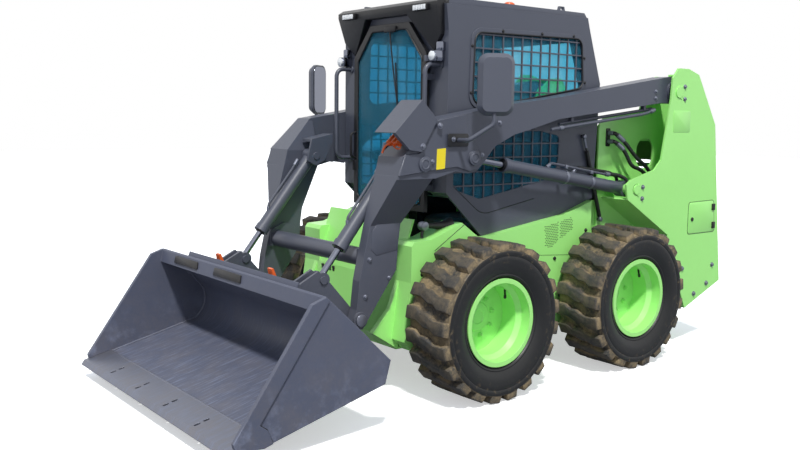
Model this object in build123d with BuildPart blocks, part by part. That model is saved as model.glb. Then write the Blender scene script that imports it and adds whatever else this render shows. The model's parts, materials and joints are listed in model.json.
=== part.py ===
"""Skid steer loader with radial lift arms and a general purpose bucket.

Frame: millimetres, +Z up, the machine looks along -Y, its left side is +X.
The origin is on the ground at the middle of the machine's box.
Side outlines are (y, z) points on Plane.YZ, which is extruded along +X. They are
drawn from a datum DATUM_Y off the origin, and save() moves each piece by it.
"""
import os
from math import atan2, cos, degrees, hypot, radians, sin, sqrt

from build123d import *

os.makedirs("parts", exist_ok=True)

# ---------------------------------------------------------------- driving sizes
FIT = 0.3            # gap between pieces that seat on each other
RUN = 0.06           # radial clearance of a pin in its bore
CLEAR = 6.0          # side gap between moving pieces
DATUM_Y = -30.0

# wheels
WHEEL_X = 680.0      # middle of a tyre
FRONT_AXLE_Y = -260.0
WHEELBASE = 1100.0
TYRE_R = 410.0       # out to the lugs' tips
TYRE_W = 300.0
LUG_H = 30.0
LUGS = 21            # in each of the two rows
RIM_SEAT_R = 209.5   # 16.5 inch bead seat
RIM_FLANGE_H = 16.5
RIM_DROP = 22.0      # depth of the drop centre below the seats
RIM_W = 250.0
RIM_WALL = 8.0
HUB_R = 68.0
SHAFT_R = 30.0

# hull
CASE_IN = 380.0      # drive case, inner and outer face
CASE_OUT = 500.0
HULL_BOTTOM = 235.0
CASE_TOP = 600.0
NOSE_X = 398.0
PLATE = 12.0

# cab
CAB_X = 460.0
CAB_WALL = 14.0
DOOR_X = 322.0       # half width of the door opening
DOOR_Z0, DOOR_Z1 = 930.0, 1930.0
DOOR_T = 24.0
CAB_FRONT_Y = -346.0
DOOR_FACE_Y = CAB_FRONT_Y - 9.0 - DOOR_T

# towers
TOWER_OUT = 665.0
TOWER_IN = 450.0
TOWER_PLATE = 12.0
REAR_LOW = (1871.0, 390.0)     # the rear face leans between these two
REAR_HIGH = (1734.0, 1405.0)

# hinges: knuckle and pin
KNUCKLE_R = 10.0
KNUCKLE_L = 60.0
HINGE_PIN_R = 5.0
DOOR_HINGE = (336.0, DOOR_FACE_Y - 13.0)
DOOR_HINGE_Z = (1080.0, 1655.0)
GATE_HINGE_X = TOWER_IN - 3.0
GATE_HINGE_Z = (560.0, 1180.0)
HOOD_PIVOT = (880.0, 1372.0)
HOOD_PIN_R = 8.0

# arms, all at the left side and mirrored for the right
BEAM_IN, BEAM_OUT = 490.0, 620.0
LEG_IN, LEG_OUT = 430.0, 488.0
ARM_WALL = 10.0

# linkage pins (y, z)
ARM_PIVOT = (1336.0, 1601.0)
LIFT_BASE = (960.0, 1022.0)
LIFT_EYE = (-314.0, 1230.0)
TILT_BASE = (-632.0, 1205.0)
TILT_EYE = (-1075.0, 653.0)
ATTACH_PIN = (-908.0, 450.0)

ARM_PIN_R = 35.0
LIFT_PIN_R = 28.0
TILT_PIN_R = 20.0
ATTACH_PIN_R = 22.0

# cylinders
LIFT_X = 555.0
LIFT_BARREL_R, LIFT_BARREL_L = 36.0, 1010.0
LIFT_ROD_R, LIFT_ROD_L = 20.0, 1030.0
TILT_X = 385.0
TILT_BARREL_R, TILT_BARREL_L = 35.0, 528.0
TILT_ROD_R, TILT_ROD_L = 16.0, 500.0
EYE_W = 40.0

# bucket, drawn along its own floor: s runs back from the edge, n is square to it
BUCKET_TIP = (-1814.0, 73.5)
BUCKET_TILT = 13.7
BUCKET_X = 840.0     # outer face of a side plate
BUCKET_SHEET = 10.0
HEEL_R = 143.0       # outside bend between floor and back
SIDE_SHEET = 12.0
EDGE_DEPTH = 168.0
EDGE_T = 20.0

AXLES = {"front": FRONT_AXLE_Y, "rear": FRONT_AXLE_Y + WHEELBASE}
SIDES = {"left": 1, "right": -1}


# ---------------------------------------------------------------- helpers
def side_plane(x):
    """Plane with its x along +Y and its y along +Z, looking along +X, at x."""
    return Plane(origin=(x, 0, 0), x_dir=(0, 1, 0), z_dir=(1, 0, 0))


def outline(points):
    """A closed face from corner points, in the running sketch."""
    with BuildLine() as border:
        Polyline(*points, close=True)
    make_face(border.edges())


def slab(points, x0, x1, mode=Mode.ADD):
    """A side outline extruded from x0 to x1, in the running part."""
    with BuildSketch(side_plane(x0)) as face:
        outline(points)
    extrude(face.sketch, amount=x1 - x0, mode=mode)


def drum(centre, r, x0, x1, mode=Mode.ADD):
    """A round bar across the machine at (y, z)."""
    with BuildSketch(side_plane(x0)) as face:
        with Locations(centre):
            Circle(r)
    extrude(face.sketch, amount=x1 - x0, mode=mode)


def block(x, y, z, mode=Mode.ADD):
    """A box from three (low, high) pairs."""
    with BuildSketch(Plane.XY.offset(z[0])) as face:
        with Locations(((x[0] + x[1]) / 2, (y[0] + y[1]) / 2)):
            Rectangle(x[1] - x[0], y[1] - y[0])
    extrude(face.sketch, amount=z[1] - z[0], mode=mode)


def post(x, y, r, z, mode=Mode.ADD):
    """An upright round bar at (x, y) over a (low, high) pair."""
    with BuildSketch(Plane.XY.offset(z[0])) as face:
        with Locations((x, y)):
            Circle(r)
    extrude(face.sketch, amount=z[1] - z[0], mode=mode)


def save(piece, name):
    """Labels a finished piece and writes it."""
    piece = Pos(0, DATUM_Y, 0) * piece
    piece.label = name
    export_step(piece, "parts/" + name + ".step")


def save_mirrored(piece, name, side):
    """Writes a piece modelled at the left for the given side."""
    if SIDES[side] < 0:
        piece = mirror(piece, about=Plane.YZ)
    save(piece, name + "_" + side)


# ---------------------------------------------------------------- wheels
def wheel_plane(side, axle):
    """The wheel's own plane: its z points out of the machine."""
    s = SIDES[side]
    return Plane(origin=(s * WHEEL_X, AXLES[axle], TYRE_R), x_dir=(0, 1, 0), z_dir=(s, 0, 0))


CARCASS_R = TYRE_R - LUG_H
HALF_TYRE = TYRE_W / 2
RIM_EDGE = RIM_W / 2
RIM_FLANGE_R = RIM_SEAT_R + RIM_FLANGE_H
# a lug's top: (u round the tyre, v out from its middle). It leaves the shoulder square,
# narrows at its waist and ends in a wide toe past the middle.
LUG = [(-44, HALF_TYRE - 9), (20, HALF_TYRE - 9), (18, 64), (44, 5), (42, -58), (12, -62), (-18, 30), (-46, 72)]
LUG_FOOT_R = CARCASS_R - 58
LUG_TOP = sqrt(TYRE_R ** 2 - 46 ** 2)

with BuildPart() as tyre:
    with BuildSketch(Plane.XZ):
        with BuildLine():
            # x is the radius, y runs along the axle
            Polyline(
                (RIM_SEAT_R + FIT, -RIM_EDGE + RIM_WALL + 2),
                (RIM_FLANGE_R + 6, -RIM_EDGE + RIM_WALL + 2),
                (RIM_FLANGE_R + 34, -HALF_TYRE + 8),
                (CARCASS_R - 50, -HALF_TYRE),
                (CARCASS_R - 12, -HALF_TYRE + 14),
                (CARCASS_R, -HALF_TYRE + 50),
                (CARCASS_R, HALF_TYRE - 50),
                (CARCASS_R - 12, HALF_TYRE - 14),
                (CARCASS_R - 50, HALF_TYRE),
                (RIM_FLANGE_R + 34, HALF_TYRE - 8),
                (RIM_FLANGE_R + 6, RIM_EDGE - RIM_WALL - 2),
                (RIM_SEAT_R + FIT, RIM_EDGE - RIM_WALL - 2),
                close=True,
            )
        make_face()
    revolve(axis=Axis.Z)
    # the second row is the first one turned half a circle about the tread's middle
    pitch = 360 / LUGS
    stagger = degrees(-18.5 / CARCASS_R)
    for row, turn in ((1, 0.0), (-1, stagger)):
        with BuildSketch(Plane.XZ.offset(-LUG_TOP)) as top:
            outline([(row * u, row * v) for u, v in LUG])
        lug = extrude(top.sketch, amount=LUG_TOP - LUG_FOOT_R, taper=-5, mode=Mode.PRIVATE)
        with Locations(*[Rotation(0, 0, turn + pitch * i) for i in range(LUGS)]):
            add(lug)

DROP_R = RIM_SEAT_R - RIM_DROP
with BuildPart() as rim:
    with BuildSketch(Plane.XZ):
        with BuildLine():
            # barrel with its flanges, bead seats and drop centre
            Polyline(
                (RIM_SEAT_R, RIM_EDGE - RIM_WALL),
                (RIM_FLANGE_R, RIM_EDGE - RIM_WALL),
                (RIM_FLANGE_R, RIM_EDGE),
                (RIM_SEAT_R - RIM_WALL, RIM_EDGE),
                (RIM_SEAT_R - RIM_WALL, 66),
                (DROP_R - RIM_WALL, 44),
                (DROP_R - RIM_WALL, -66),
                (RIM_SEAT_R - RIM_WALL, -90),
                (RIM_SEAT_R - RIM_WALL, -RIM_EDGE),
                (RIM_FLANGE_R, -RIM_EDGE),
                (RIM_FLANGE_R, -RIM_EDGE + RIM_WALL),
                (RIM_SEAT_R, -RIM_EDGE + RIM_WALL),
                (RIM_SEAT_R, -86),
                (DROP_R, -62),
                (DROP_R, 40),
                (RIM_SEAT_R, 62),
                close=True,
            )
        make_face()
        with BuildLine():
            # flat disc set deep in the barrel, then the hub and the drive shaft
            Polyline(
                (0, -172),
                (SHAFT_R, -172),
                (SHAFT_R, -88),
                (HUB_R, -88),
                (HUB_R, -66),
                (DROP_R - 3, -66),
                (DROP_R - 3, -54),
                (78, -54),
                (72, -48),
                (40, -48),
                (36, -52),
                (0, -52),
                close=True,
            )
        make_face()
    revolve(axis=Axis.Z)

for axle_name in AXLES:
    for side_name in SIDES:
        place = wheel_plane(side_name, axle_name).location
        save(place * tyre.part, "tyre_" + axle_name + "_" + side_name)
        save(place * rim.part, "rim_" + axle_name + "_" + side_name)

HOUSING_END = WHEEL_X - 88 - CLEAR
with BuildPart() as axle_housings:
    for axle_y in AXLES.values():
        for s in SIDES.values():
            with BuildSketch(side_plane(s * (CASE_OUT + FIT))):
                with Locations((axle_y, TYRE_R)):
                    RectangleRounded(190, 190, 30)
            extrude(amount=s * 16)
            drum((axle_y, TYRE_R), HUB_R, s * (CASE_OUT + 10), s * HOUSING_END)
    for axle_y in AXLES.values():
        for s in SIDES.values():
            drum((axle_y, TYRE_R), SHAFT_R + RUN, s * CASE_OUT, s * (HOUSING_END + 1), Mode.SUBTRACT)
save(axle_housings.part, "axle_housings")


# ---------------------------------------------------------------- chassis
TOWER_Y0 = 850.0     # where the tower's inner plate takes over the hull's side
REAR_Y = 1500.0
with BuildPart() as chassis_frame:
    for s in SIDES.values():
        # drive case, then the side panel that carries the cab's edge
        slab([(-560, HULL_BOTTOM), (-640, 300), (-600, CASE_TOP), (TOWER_Y0, CASE_TOP),
              (TOWER_Y0, HULL_BOTTOM)], s * CASE_IN, s * CASE_OUT)
        slab([(TOWER_Y0 - 1, HULL_BOTTOM), (TOWER_Y0 - 1, CASE_TOP), (REAR_Y, CASE_TOP),
              (REAR_Y, HULL_BOTTOM)], s * CASE_IN, s * (TOWER_IN - FIT))
        slab([(-500, CASE_TOP - 10), (-475, 700), (-136, 800), (-85, 800), (532, 883),
              (760, 954), (760, CASE_TOP - 10)],
             s * (CAB_X + FIT), s * CASE_OUT)
        # recessed wall behind the strut that holds the cab down
        slab([(750, CASE_TOP - 10), (750, 930), (812, 948), (TOWER_Y0, 948), (TOWER_Y0, CASE_TOP - 10)],
             s * (CASE_IN + 40), s * (TOWER_IN - FIT))
        slab([(748, CASE_TOP - 10), (748, 928), (760, 932), (760, CASE_TOP - 10)],
             s * (CASE_IN + 40), s * (CAB_X + 2))
        # box ahead of the cab over the front wheel
        slab([(-600, CASE_TOP - 20), (-600, 785), (-585, 806), (-475, 811), (-266, 886),
              (-136, 795), (-300, CASE_TOP - 20)], s * 345, s * CASE_OUT)
        # nose beside the belly
        slab([(-600, 240), (-762, 344), (-655, 455), (-600, CASE_TOP)], s * (NOSE_X - 30), s * NOSE_X)
    # belly pan, front wall of the footwell, floor and rear cross member
    slab([(-600, HULL_BOTTOM), (-600, HULL_BOTTOM + PLATE), (REAR_Y, HULL_BOTTOM + PLATE),
          (REAR_Y, HULL_BOTTOM)], -CASE_IN - 1, CASE_IN + 1)
    slab([(-600, 240), (-640, 300), (-600, CASE_TOP), (-500, 905), (-488, 905), (-588, CASE_TOP),
          (-628, 300), (-594, 246)], -CASE_IN - 1, CASE_IN + 1)
    slab([(-590, 470), (-590, 482), (300, 482), (300, 470)], -CASE_IN - 1, CASE_IN + 1)
    slab([(REAR_Y - 1, HULL_BOTTOM), (REAR_Y - 1, 330), (1760, 330), (1760, 318),
          (REAR_Y + 12, 318), (REAR_Y + 12, HULL_BOTTOM)], -TOWER_IN + FIT, TOWER_IN - FIT)
    for s in SIDES.values():
        for axle_y in AXLES.values():
            drum((axle_y, TYRE_R), SHAFT_R + 6, s * (CASE_OUT - 20), s * CASE_OUT, Mode.SUBTRACT)
save(chassis_frame.part, "chassis_frame")

with BuildPart() as engine_block:
    block((-230, 230), (930, 1480), (HULL_BOTTOM + PLATE + 60, 1010))
    for y in (980, 1430):
        block((-CASE_IN + FIT, CASE_IN - FIT), (y - 25, y + 25), (330, 380))
save(engine_block.part, "engine_block")

# ---------------------------------------------------------------- towers
REAR_LEAN = (REAR_LOW[0] - REAR_HIGH[0]) / (REAR_HIGH[1] - REAR_LOW[1])


def rear_y(z):
    """The towers' rear face at height z."""
    return REAR_LOW[0] - (z - REAR_LOW[1]) * REAR_LEAN


def gate_axis(z):
    """Plane square to the tailgate's hinge line at height z."""
    return Plane(origin=(GATE_HINGE_X, rear_y(z) + KNUCKLE_R + 1, z), x_dir=(1, 0, 0),
                 z_dir=(0, -REAR_LEAN, 1))


COVER_X = TOWER_IN - CLEAR
TOWER_SIDE = [
    (1424, 1743), (1532, 1711), (1734, 1405), (1871, 390), (1501, 247), (1288, 668), (1283, 731),
    (883, 965), (863, 1054), (908, 1081), (1123, 1134), (1187, 1193), (1257, 1552), (1267, 1683),
    (1320, 1743),
]
# the wall between the plates runs round the rear and under the belly, open at the front
TOWER_WALLED = [
    (1532, 1800), (2000, 1500), (2000, 300), (1501, 150), (1200, 650), (870, 940), (912, 1000), (1320, 760),
    (1530, 290), (1840, 420), (1700, 1380), (1500, 1680),
]
with BuildPart() as tower:
    # outer plate
    slab(TOWER_SIDE, TOWER_OUT - TOWER_PLATE, TOWER_OUT)
    # inner plate, lower at the front where the cab's corner stands
    slab([(1380, 1700), (1532, 1700), REAR_HIGH, REAR_LOW, (1501, 247), (TOWER_Y0 + FIT, 300),
          (TOWER_Y0 + FIT, 1400), (900, 1450), (1225, 1480), (1270, 1600)],
         TOWER_IN, TOWER_IN + TOWER_PLATE)
    with BuildSketch(side_plane(TOWER_IN + TOWER_PLATE / 2)):
        outline(TOWER_SIDE)
        with BuildSketch(mode=Mode.SUBTRACT):
            outline(TOWER_SIDE)
            offset(amount=-TOWER_PLATE, kind=Kind.INTERSECTION, mode=Mode.REPLACE)
        with BuildSketch(mode=Mode.INTERSECT):
            outline(TOWER_WALLED)
    extrude(amount=TOWER_OUT - TOWER_IN - TOWER_PLATE)
    # hose opening in the inner plate
    with BuildSketch(side_plane(TOWER_IN - 1)):
        with Locations((1293, 1222)):
            RectangleRounded(166, 184, 70)
    extrude(amount=TOWER_PLATE + 2, mode=Mode.SUBTRACT)
    # fixed pins with their collars
    for centre, r in ((ARM_PIVOT, ARM_PIN_R), (LIFT_BASE, LIFT_PIN_R)):
        drum(centre, r, TOWER_IN + 2, TOWER_OUT + 6)
        drum(centre, r + 22, TOWER_IN + 2, TOWER_IN + TOWER_PLATE + 6)
        drum(centre, r + 22, TOWER_OUT - TOWER_PLATE - 6, TOWER_OUT - 2)
    # hood pivot
    drum(HOOD_PIVOT, HOOD_PIN_R, COVER_X - 14, TOWER_IN + 2)
save_mirrored(tower.part, "tower", "right")
# the left tower carries the tailgate's hinge pins
with BuildPart() as tower_left:
    add(tower.part)
    for z in GATE_HINGE_Z:
        for low, high in ((-32, -2), (62, 92)):
            with BuildSketch(gate_axis(z + low)):
                Circle(KNUCKLE_R)
                with Locations((30, -KNUCKLE_R + 1)):
                    Rectangle(60, 4)
            extrude(amount=high - low)
        with BuildSketch(gate_axis(z - 10)):
            Circle(HINGE_PIN_R)
        extrude(amount=80)
save(tower_left.part, "tower_left")


# ---------------------------------------------------------------- covers at the rear
HOOD_REAR = 1716.0
GATE_Z0, GATE_Z1 = 345.0, 1338.0
GATE_T = 50.0
with BuildPart() as hood:
    slab([(872, 1330), (872, 1392), (1500, 1384), (HOOD_REAR, 1358), (HOOD_REAR, 1346),
          (1498, 1372), (884, 1380), (884, 1330)], -COVER_X + 2, COVER_X - 2)
    for s in SIDES.values():
        slab([(872, 1320), (872, 1392), (1500, 1384), (HOOD_REAR, 1358), (HOOD_REAR, 1346),
              (1500, 1300), (900, 1300)], s * (COVER_X - 12), s * (COVER_X - 2))
    for s in SIDES.values():
        drum(HOOD_PIVOT, HOOD_PIN_R + RUN, s * (COVER_X - 16), s * COVER_X, Mode.SUBTRACT)
save(hood.part, "hood")

with BuildPart() as tailgate:
    slab([(rear_y(GATE_Z0) - 4 - GATE_T, GATE_Z0), (rear_y(GATE_Z1) - 4 - GATE_T, GATE_Z1),
          (rear_y(GATE_Z1) - 18, GATE_Z1), (rear_y(GATE_Z1 - 14) - 4, GATE_Z1 - 14),
          (rear_y(GATE_Z0) - 4, GATE_Z0)], -COVER_X + 6, COVER_X - 6)
    slab([(rear_y(GATE_Z0 + 30) - 14 - GATE_T, GATE_Z0 + 30), (rear_y(GATE_Z1 - 30) - 14 - GATE_T, GATE_Z1 - 30),
          (rear_y(GATE_Z1 - 30) - 16, GATE_Z1 - 30), (rear_y(GATE_Z0 + 30) - 16, GATE_Z0 + 30)],
         -COVER_X + 36, COVER_X - 36, Mode.SUBTRACT)
    # cooling air slots
    with BuildSketch(Plane.XZ.offset(-rear_y(GATE_Z0))):
        with Locations((0, 900)):
            with GridLocations(0, 50, 1, 11):
                SlotOverall(560, 22)
    extrude(amount=200, mode=Mode.SUBTRACT)
    for z in GATE_HINGE_Z:
        with BuildSketch(gate_axis(z)):
            Circle(KNUCKLE_R)
            with Locations((-36, -KNUCKLE_R - 2)):
                Rectangle(70, 10)
        extrude(amount=60)
        with BuildSketch(gate_axis(z - 1)):
            Circle(HINGE_PIN_R + RUN)
        extrude(amount=64, mode=Mode.SUBTRACT)
save(tailgate.part, "tailgate")

# ---------------------------------------------------------------- cab
CAB_SIDE = [
    (CAB_FRONT_Y, 1040), (CAB_FRONT_Y, 1870), (-363, 2002), (713, 2010), (734, 1944), (842, 1638), (831, 1368),
    (809, 964), (532, 877), (-85, 794),
]
UPPER_WINDOW = [(-180, 1500), (-170, 1872), (662, 1886), (684, 1610), (100, 1515)]
LOWER_WINDOW = [(-300, 1060), (-110, 1000), (480, 1100), (520, 1330), (200, 1390), (-290, 1380)]
WINDOW_R = 50.0      # corner radius of both windows
DOOR_FACE = [
    (-DOOR_X, DOOR_Z0), (-DOOR_X, DOOR_Z1 - 170), (-DOOR_X + 150, DOOR_Z1), (DOOR_X - 150, DOOR_Z1),
    (DOOR_X, DOOR_Z1 - 170), (DOOR_X, DOOR_Z0),
]


def window(corners, margin):
    """A side window's face with rounded corners, grown by margin."""
    with BuildSketch() as face:
        outline(corners)
        fillet(face.vertices(), WINDOW_R)
        if margin:
            offset(amount=margin, mode=Mode.REPLACE)
    return face.sketch


with BuildPart() as cab_shell:
    slab(CAB_SIDE, -CAB_X, CAB_X)
    with BuildSketch(side_plane(-CAB_X + CAB_WALL)):
        outline(CAB_SIDE)
        offset(amount=-CAB_WALL, kind=Kind.INTERSECTION, mode=Mode.REPLACE)
    extrude(amount=2 * (CAB_X - CAB_WALL), mode=Mode.SUBTRACT)
    # the footwell is open at the front below
    slab([(-500, 700), (-500, 1036), (-326, 1036), (-60, 820), (532, 903), (640, 936), (640, 700)],
         -CAB_X + CAB_WALL, CAB_X - CAB_WALL, Mode.SUBTRACT)
    # raised seal round each upper window, then the openings
    for s in SIDES.values():
        with BuildSketch(side_plane(s * (CAB_X - 1))):
            add(window(UPPER_WINDOW, 24))
        extrude(amount=s * 7)
    for corners in (UPPER_WINDOW, LOWER_WINDOW):
        with BuildSketch(side_plane(-CAB_X - 10)):
            add(window(corners, 0))
        extrude(amount=2 * CAB_X + 20, mode=Mode.SUBTRACT)
    # door opening, inside the door's own edge
    with BuildSketch(Plane.XZ.offset(600)):
        outline(DOOR_FACE)
        offset(amount=-16, kind=Kind.INTERSECTION, mode=Mode.REPLACE)
    extrude(amount=-300, mode=Mode.SUBTRACT)
    # rear window
    block((-300, 300), (600, 900), (1440, 1880), Mode.SUBTRACT)
    # hinge lugs with their pins
    for z in DOOR_HINGE_Z:
        for low, high in ((z - 32, z - 2), (z + KNUCKLE_L + 2, z + KNUCKLE_L + 32)):
            post(*DOOR_HINGE, KNUCKLE_R, (low, high))
            block((DOOR_HINGE[0] - 6, DOOR_HINGE[0] + 16), (DOOR_HINGE[1], CAB_FRONT_Y + 1), (low, high))
        post(*DOOR_HINGE, HINGE_PIN_R, (z - 10, z + KNUCKLE_L + 10))
save(cab_shell.part, "cab_shell")

ROOF_FRONT, ROOF_BACK = CAB_SIDE[2], CAB_SIDE[3]
ROOF_T = 26.0
ROOF_TOP = ROOF_BACK[1] + ROOF_T
BROW_X = 440.0
BROW_OUT = 66.0      # how far the brow stands out of the cab's front
with BuildPart() as cab_roof:
    slab([(ROOF_FRONT[0], ROOF_FRONT[1] + FIT), (ROOF_BACK[0], ROOF_BACK[1] + FIT), (690, ROOF_TOP),
          (-340, ROOF_TOP)], -CAB_X + 8, CAB_X - 8)
    # brow over the door, with a cheek down each corner post
    low = ROOF_TOP - 262
    with BuildSketch(side_plane(-BROW_X), mode=Mode.PRIVATE) as profile:
        outline([(CAB_FRONT_Y - FIT, low), (CAB_FRONT_Y - 7, low), (CAB_FRONT_Y - BROW_OUT, ROOF_TOP - 50),
                 (CAB_FRONT_Y - BROW_OUT, ROOF_TOP - 24), (CAB_FRONT_Y - 34, ROOF_TOP - 4), (-330, ROOF_TOP),
                 (-330, ROOF_FRONT[1] + 1), (ROOF_FRONT[0] - FIT, ROOF_FRONT[1] + 1),
                 (CAB_FRONT_Y - FIT, 1869)])
    hood_over = extrude(profile.sketch, amount=2 * BROW_X, mode=Mode.PRIVATE)
    with BuildSketch(Plane.XZ.offset(600), mode=Mode.PRIVATE) as front:
        outline([(-BROW_X, ROOF_TOP + 10), (-BROW_X, ROOF_TOP - 46), (-BROW_X + 15, ROOF_TOP - 186), (-352, low - 1),
                 (-185, ROOF_TOP - 71), (185, ROOF_TOP - 71), (352, low - 1), (BROW_X - 15, ROOF_TOP - 186),
                 (BROW_X, ROOF_TOP - 46), (BROW_X, ROOF_TOP + 10)])
    add(hood_over & extrude(front.sketch, amount=-400, mode=Mode.PRIVATE))
    for s in SIDES.values():
        # lifting eyes stand on the roof
        for x, y in ((400, 548), (400, -231)):
            with BuildSketch(Plane.YZ.offset(s * x - 7)):
                with BuildLine():
                    Polyline((y - 34, ROOF_TOP - 16), (y - 20, ROOF_TOP + 30), (y + 20, ROOF_TOP + 30),
                             (y + 34, ROOF_TOP - 16), close=True)
                make_face()
            extrude(amount=14)
            with BuildSketch(Plane.YZ.offset(s * x - 8)):
                with Locations((y, ROOF_TOP + 14)):
                    Circle(11)
            extrude(amount=16, mode=Mode.SUBTRACT)
save(cab_roof.part, "cab_roof")

GLASS_T = 6.0
with BuildPart() as cab_glass:
    for s in SIDES.values():
        for corners in (UPPER_WINDOW, LOWER_WINDOW):
            with BuildSketch(side_plane(s * (CAB_X - CAB_WALL + 1))):
                add(window(corners, -FIT))
            extrude(amount=s * GLASS_T)
save(cab_glass.part, "cab_glass")

MESH_PITCH = 73.0
MESH_BAR = 8.0
with BuildPart() as window_grilles:
    for s in SIDES.values():
        for corners in (UPPER_WINDOW, LOWER_WINDOW):
            low_y = min(p[0] for p in corners)
            high_y = max(p[0] for p in corners)
            low_z = min(p[1] for p in corners)
            high_z = max(p[1] for p in corners)
            with BuildSketch(side_plane(s * (CAB_X - MESH_BAR + 2))):
                add(window(corners, -FIT))
                with BuildSketch(mode=Mode.INTERSECT):
                    for i in range(1, int((high_y - low_y) / MESH_PITCH) + 1):
                        with Locations((low_y + i * MESH_PITCH, (low_z + high_z) / 2)):
                            Rectangle(MESH_BAR, high_z - low_z + 10)
                    for i in range(1, int((high_z - low_z) / MESH_PITCH) + 1):
                        with Locations(((low_y + high_y) / 2, low_z + i * MESH_PITCH)):
                            Rectangle(high_y - low_y + 10, MESH_BAR)
            extrude(amount=s * MESH_BAR)
save(window_grilles.part, "window_grilles")

with BuildPart() as seat:
    slab([(60, 760), (60, 850), (80, 870), (420, 845), (500, 1330), (540, 1345), (575, 1330),
          (520, 830), (480, 760)], -240, 240)
    block((-200, 200), (120, 460), (482 + FIT, 760))
save(seat.part, "seat")

with BuildPart() as controls:
    for s in SIDES.values():
        slab([(-60, 880), (-60, 960), (-20, 975), (430, 975), (430, 880)], s * 270, s * 360)
        with BuildSketch(Plane.XY.offset(970)):
            with Locations((s * 315, 0)):
                Circle(12)
        extrude(amount=120)
        with BuildSketch(Plane.XY.offset(1080)):
            with Locations((s * 315, 0)):
                Ellipse(22, 28)
        extrude(amount=90)
        block((s * 315 - 40, s * 315 + 40), (60, 380), (482 + FIT, 885))
save(controls.part, "controls")

# ---------------------------------------------------------------- door
with BuildPart() as door_frame:
    with BuildSketch(Plane.XZ.offset(-DOOR_FACE_Y)):
        outline(DOOR_FACE)
        with BuildSketch(mode=Mode.SUBTRACT):
            outline(DOOR_FACE)
            offset(amount=-34, kind=Kind.INTERSECTION, mode=Mode.REPLACE)
    extrude(amount=-DOOR_T)
    for z in DOOR_HINGE_Z:
        post(*DOOR_HINGE, KNUCKLE_R, (z, z + KNUCKLE_L))
        block((DOOR_X - 30, DOOR_HINGE[0]), (DOOR_FACE_Y - 5, DOOR_FACE_Y + 1), (z, z + KNUCKLE_L))
        post(*DOOR_HINGE, HINGE_PIN_R + RUN, (z - 1, z + KNUCKLE_L + 1), Mode.SUBTRACT)
save(door_frame.part, "door_frame")

with BuildPart() as door_glass:
    with BuildSketch(Plane.XZ.offset(-DOOR_FACE_Y - 8)):
        outline(DOOR_FACE)
        offset(amount=-34 - FIT, kind=Kind.INTERSECTION, mode=Mode.REPLACE)
    extrude(amount=-GLASS_T)
save(door_glass.part, "door_glass")

# ---------------------------------------------------------------- lamps, rails, struts
with BuildPart() as work_lamps:
    for s in SIDES.values():
        block((s * 320 - 55, s * 320 + 55), (-432, -412 - FIT), (1972, 2004))
        block((s * 410 - 30, s * 410 + 30), (-420, CAB_FRONT_Y - FIT), (1714, 1768))
        slab([(1769, 1150), (1758, 1230), (1775, 1232), (1786, 1152)], s * 560 - 30, s * 560 + 30)
    with BuildSketch(Plane.XY.offset(ROOF_TOP + FIT)):
        with Locations((200, 331)):
            Circle(42)
    extrude(amount=56, taper=8)
save(work_lamps.part, "work_lamps")

RAIL_R = 12.0
with BuildPart() as grab_rails:
    for s in SIDES.values():
        x = s * 400
        root = CAB_FRONT_Y - FIT
        with BuildLine() as rail_path:
            FilletPolyline((x, root, 1190), (x, -450, 1190), (x, -450, 1700), (x, root, 1700), radius=45)
        with BuildSketch(Plane(origin=rail_path.line @ 0, z_dir=rail_path.line % 0)):
            Circle(RAIL_R)
        sweep(path=rail_path.line)
save(grab_rails.part, "grab_rails")

STRUT_X = 476.0
with BuildPart() as cab_struts:
    for s in SIDES.values():
        top, base = (697, 1330), (869, 834)
        run = hypot(base[0] - top[0], base[1] - top[1])
        lean = degrees(atan2(base[0] - top[0], top[1] - base[1]))
        down = Plane(origin=(s * STRUT_X, top[0], top[1]), x_dir=(1, 0, 0),
                     z_dir=(0, sin(radians(lean)), -cos(radians(lean))))
        with BuildSketch(down):
            Circle(6)
        extrude(amount=run)
        with BuildSketch(down.offset(90)):
            Circle(12)
        extrude(amount=run - 110)
        for (y, z), root in ((top, CAB_X), (base, TOWER_IN + TOWER_PLATE)):
            drum((y, z), 11, s * (root + FIT), s * (STRUT_X + 10))
save(cab_struts.part, "cab_struts")

# ---------------------------------------------------------------- arms
ARM_SIDE = [
    (1299, 1693), (320, 1547), (-37, 1504), (-575, 1415), (-760, 1240), (-787, 1133), (-556, 1133),
    (-423, 1165), (-338, 1152), (-277, 1166), (-236, 1203), (-159, 1285), (-20, 1345), (108, 1374),
    (326, 1429), (1229, 1534), (1290, 1530), (1376, 1540), (1400, 1600), (1376, 1670),
]
KNEE_OPEN = [(-540, 1080), (-540, 1190), (-150, 1310), (-100, 1290), (-150, 1080)]
LEG_SIDE = [(-850, 905), (-910, 640), (-925, 500), (-950, 430), (-925, 402), (-890, 402), (-868, 430),
            (-688, 677), (-676, 826), (-665, 905)]
DOUBLER_T = 10.0
DOUBLER = [(-783, 1152), (-556, 1178), (-423, 1188), (-338, 1164), (-277, 1176), (-238, 1211), (-356, 1355),
           (-366, 1446), (-562, 1412), (-654, 1262), (-668, 1256), (-745, 1250)]
BRACKET_IN = TILT_X - TILT_BARREL_R - 19.0
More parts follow.
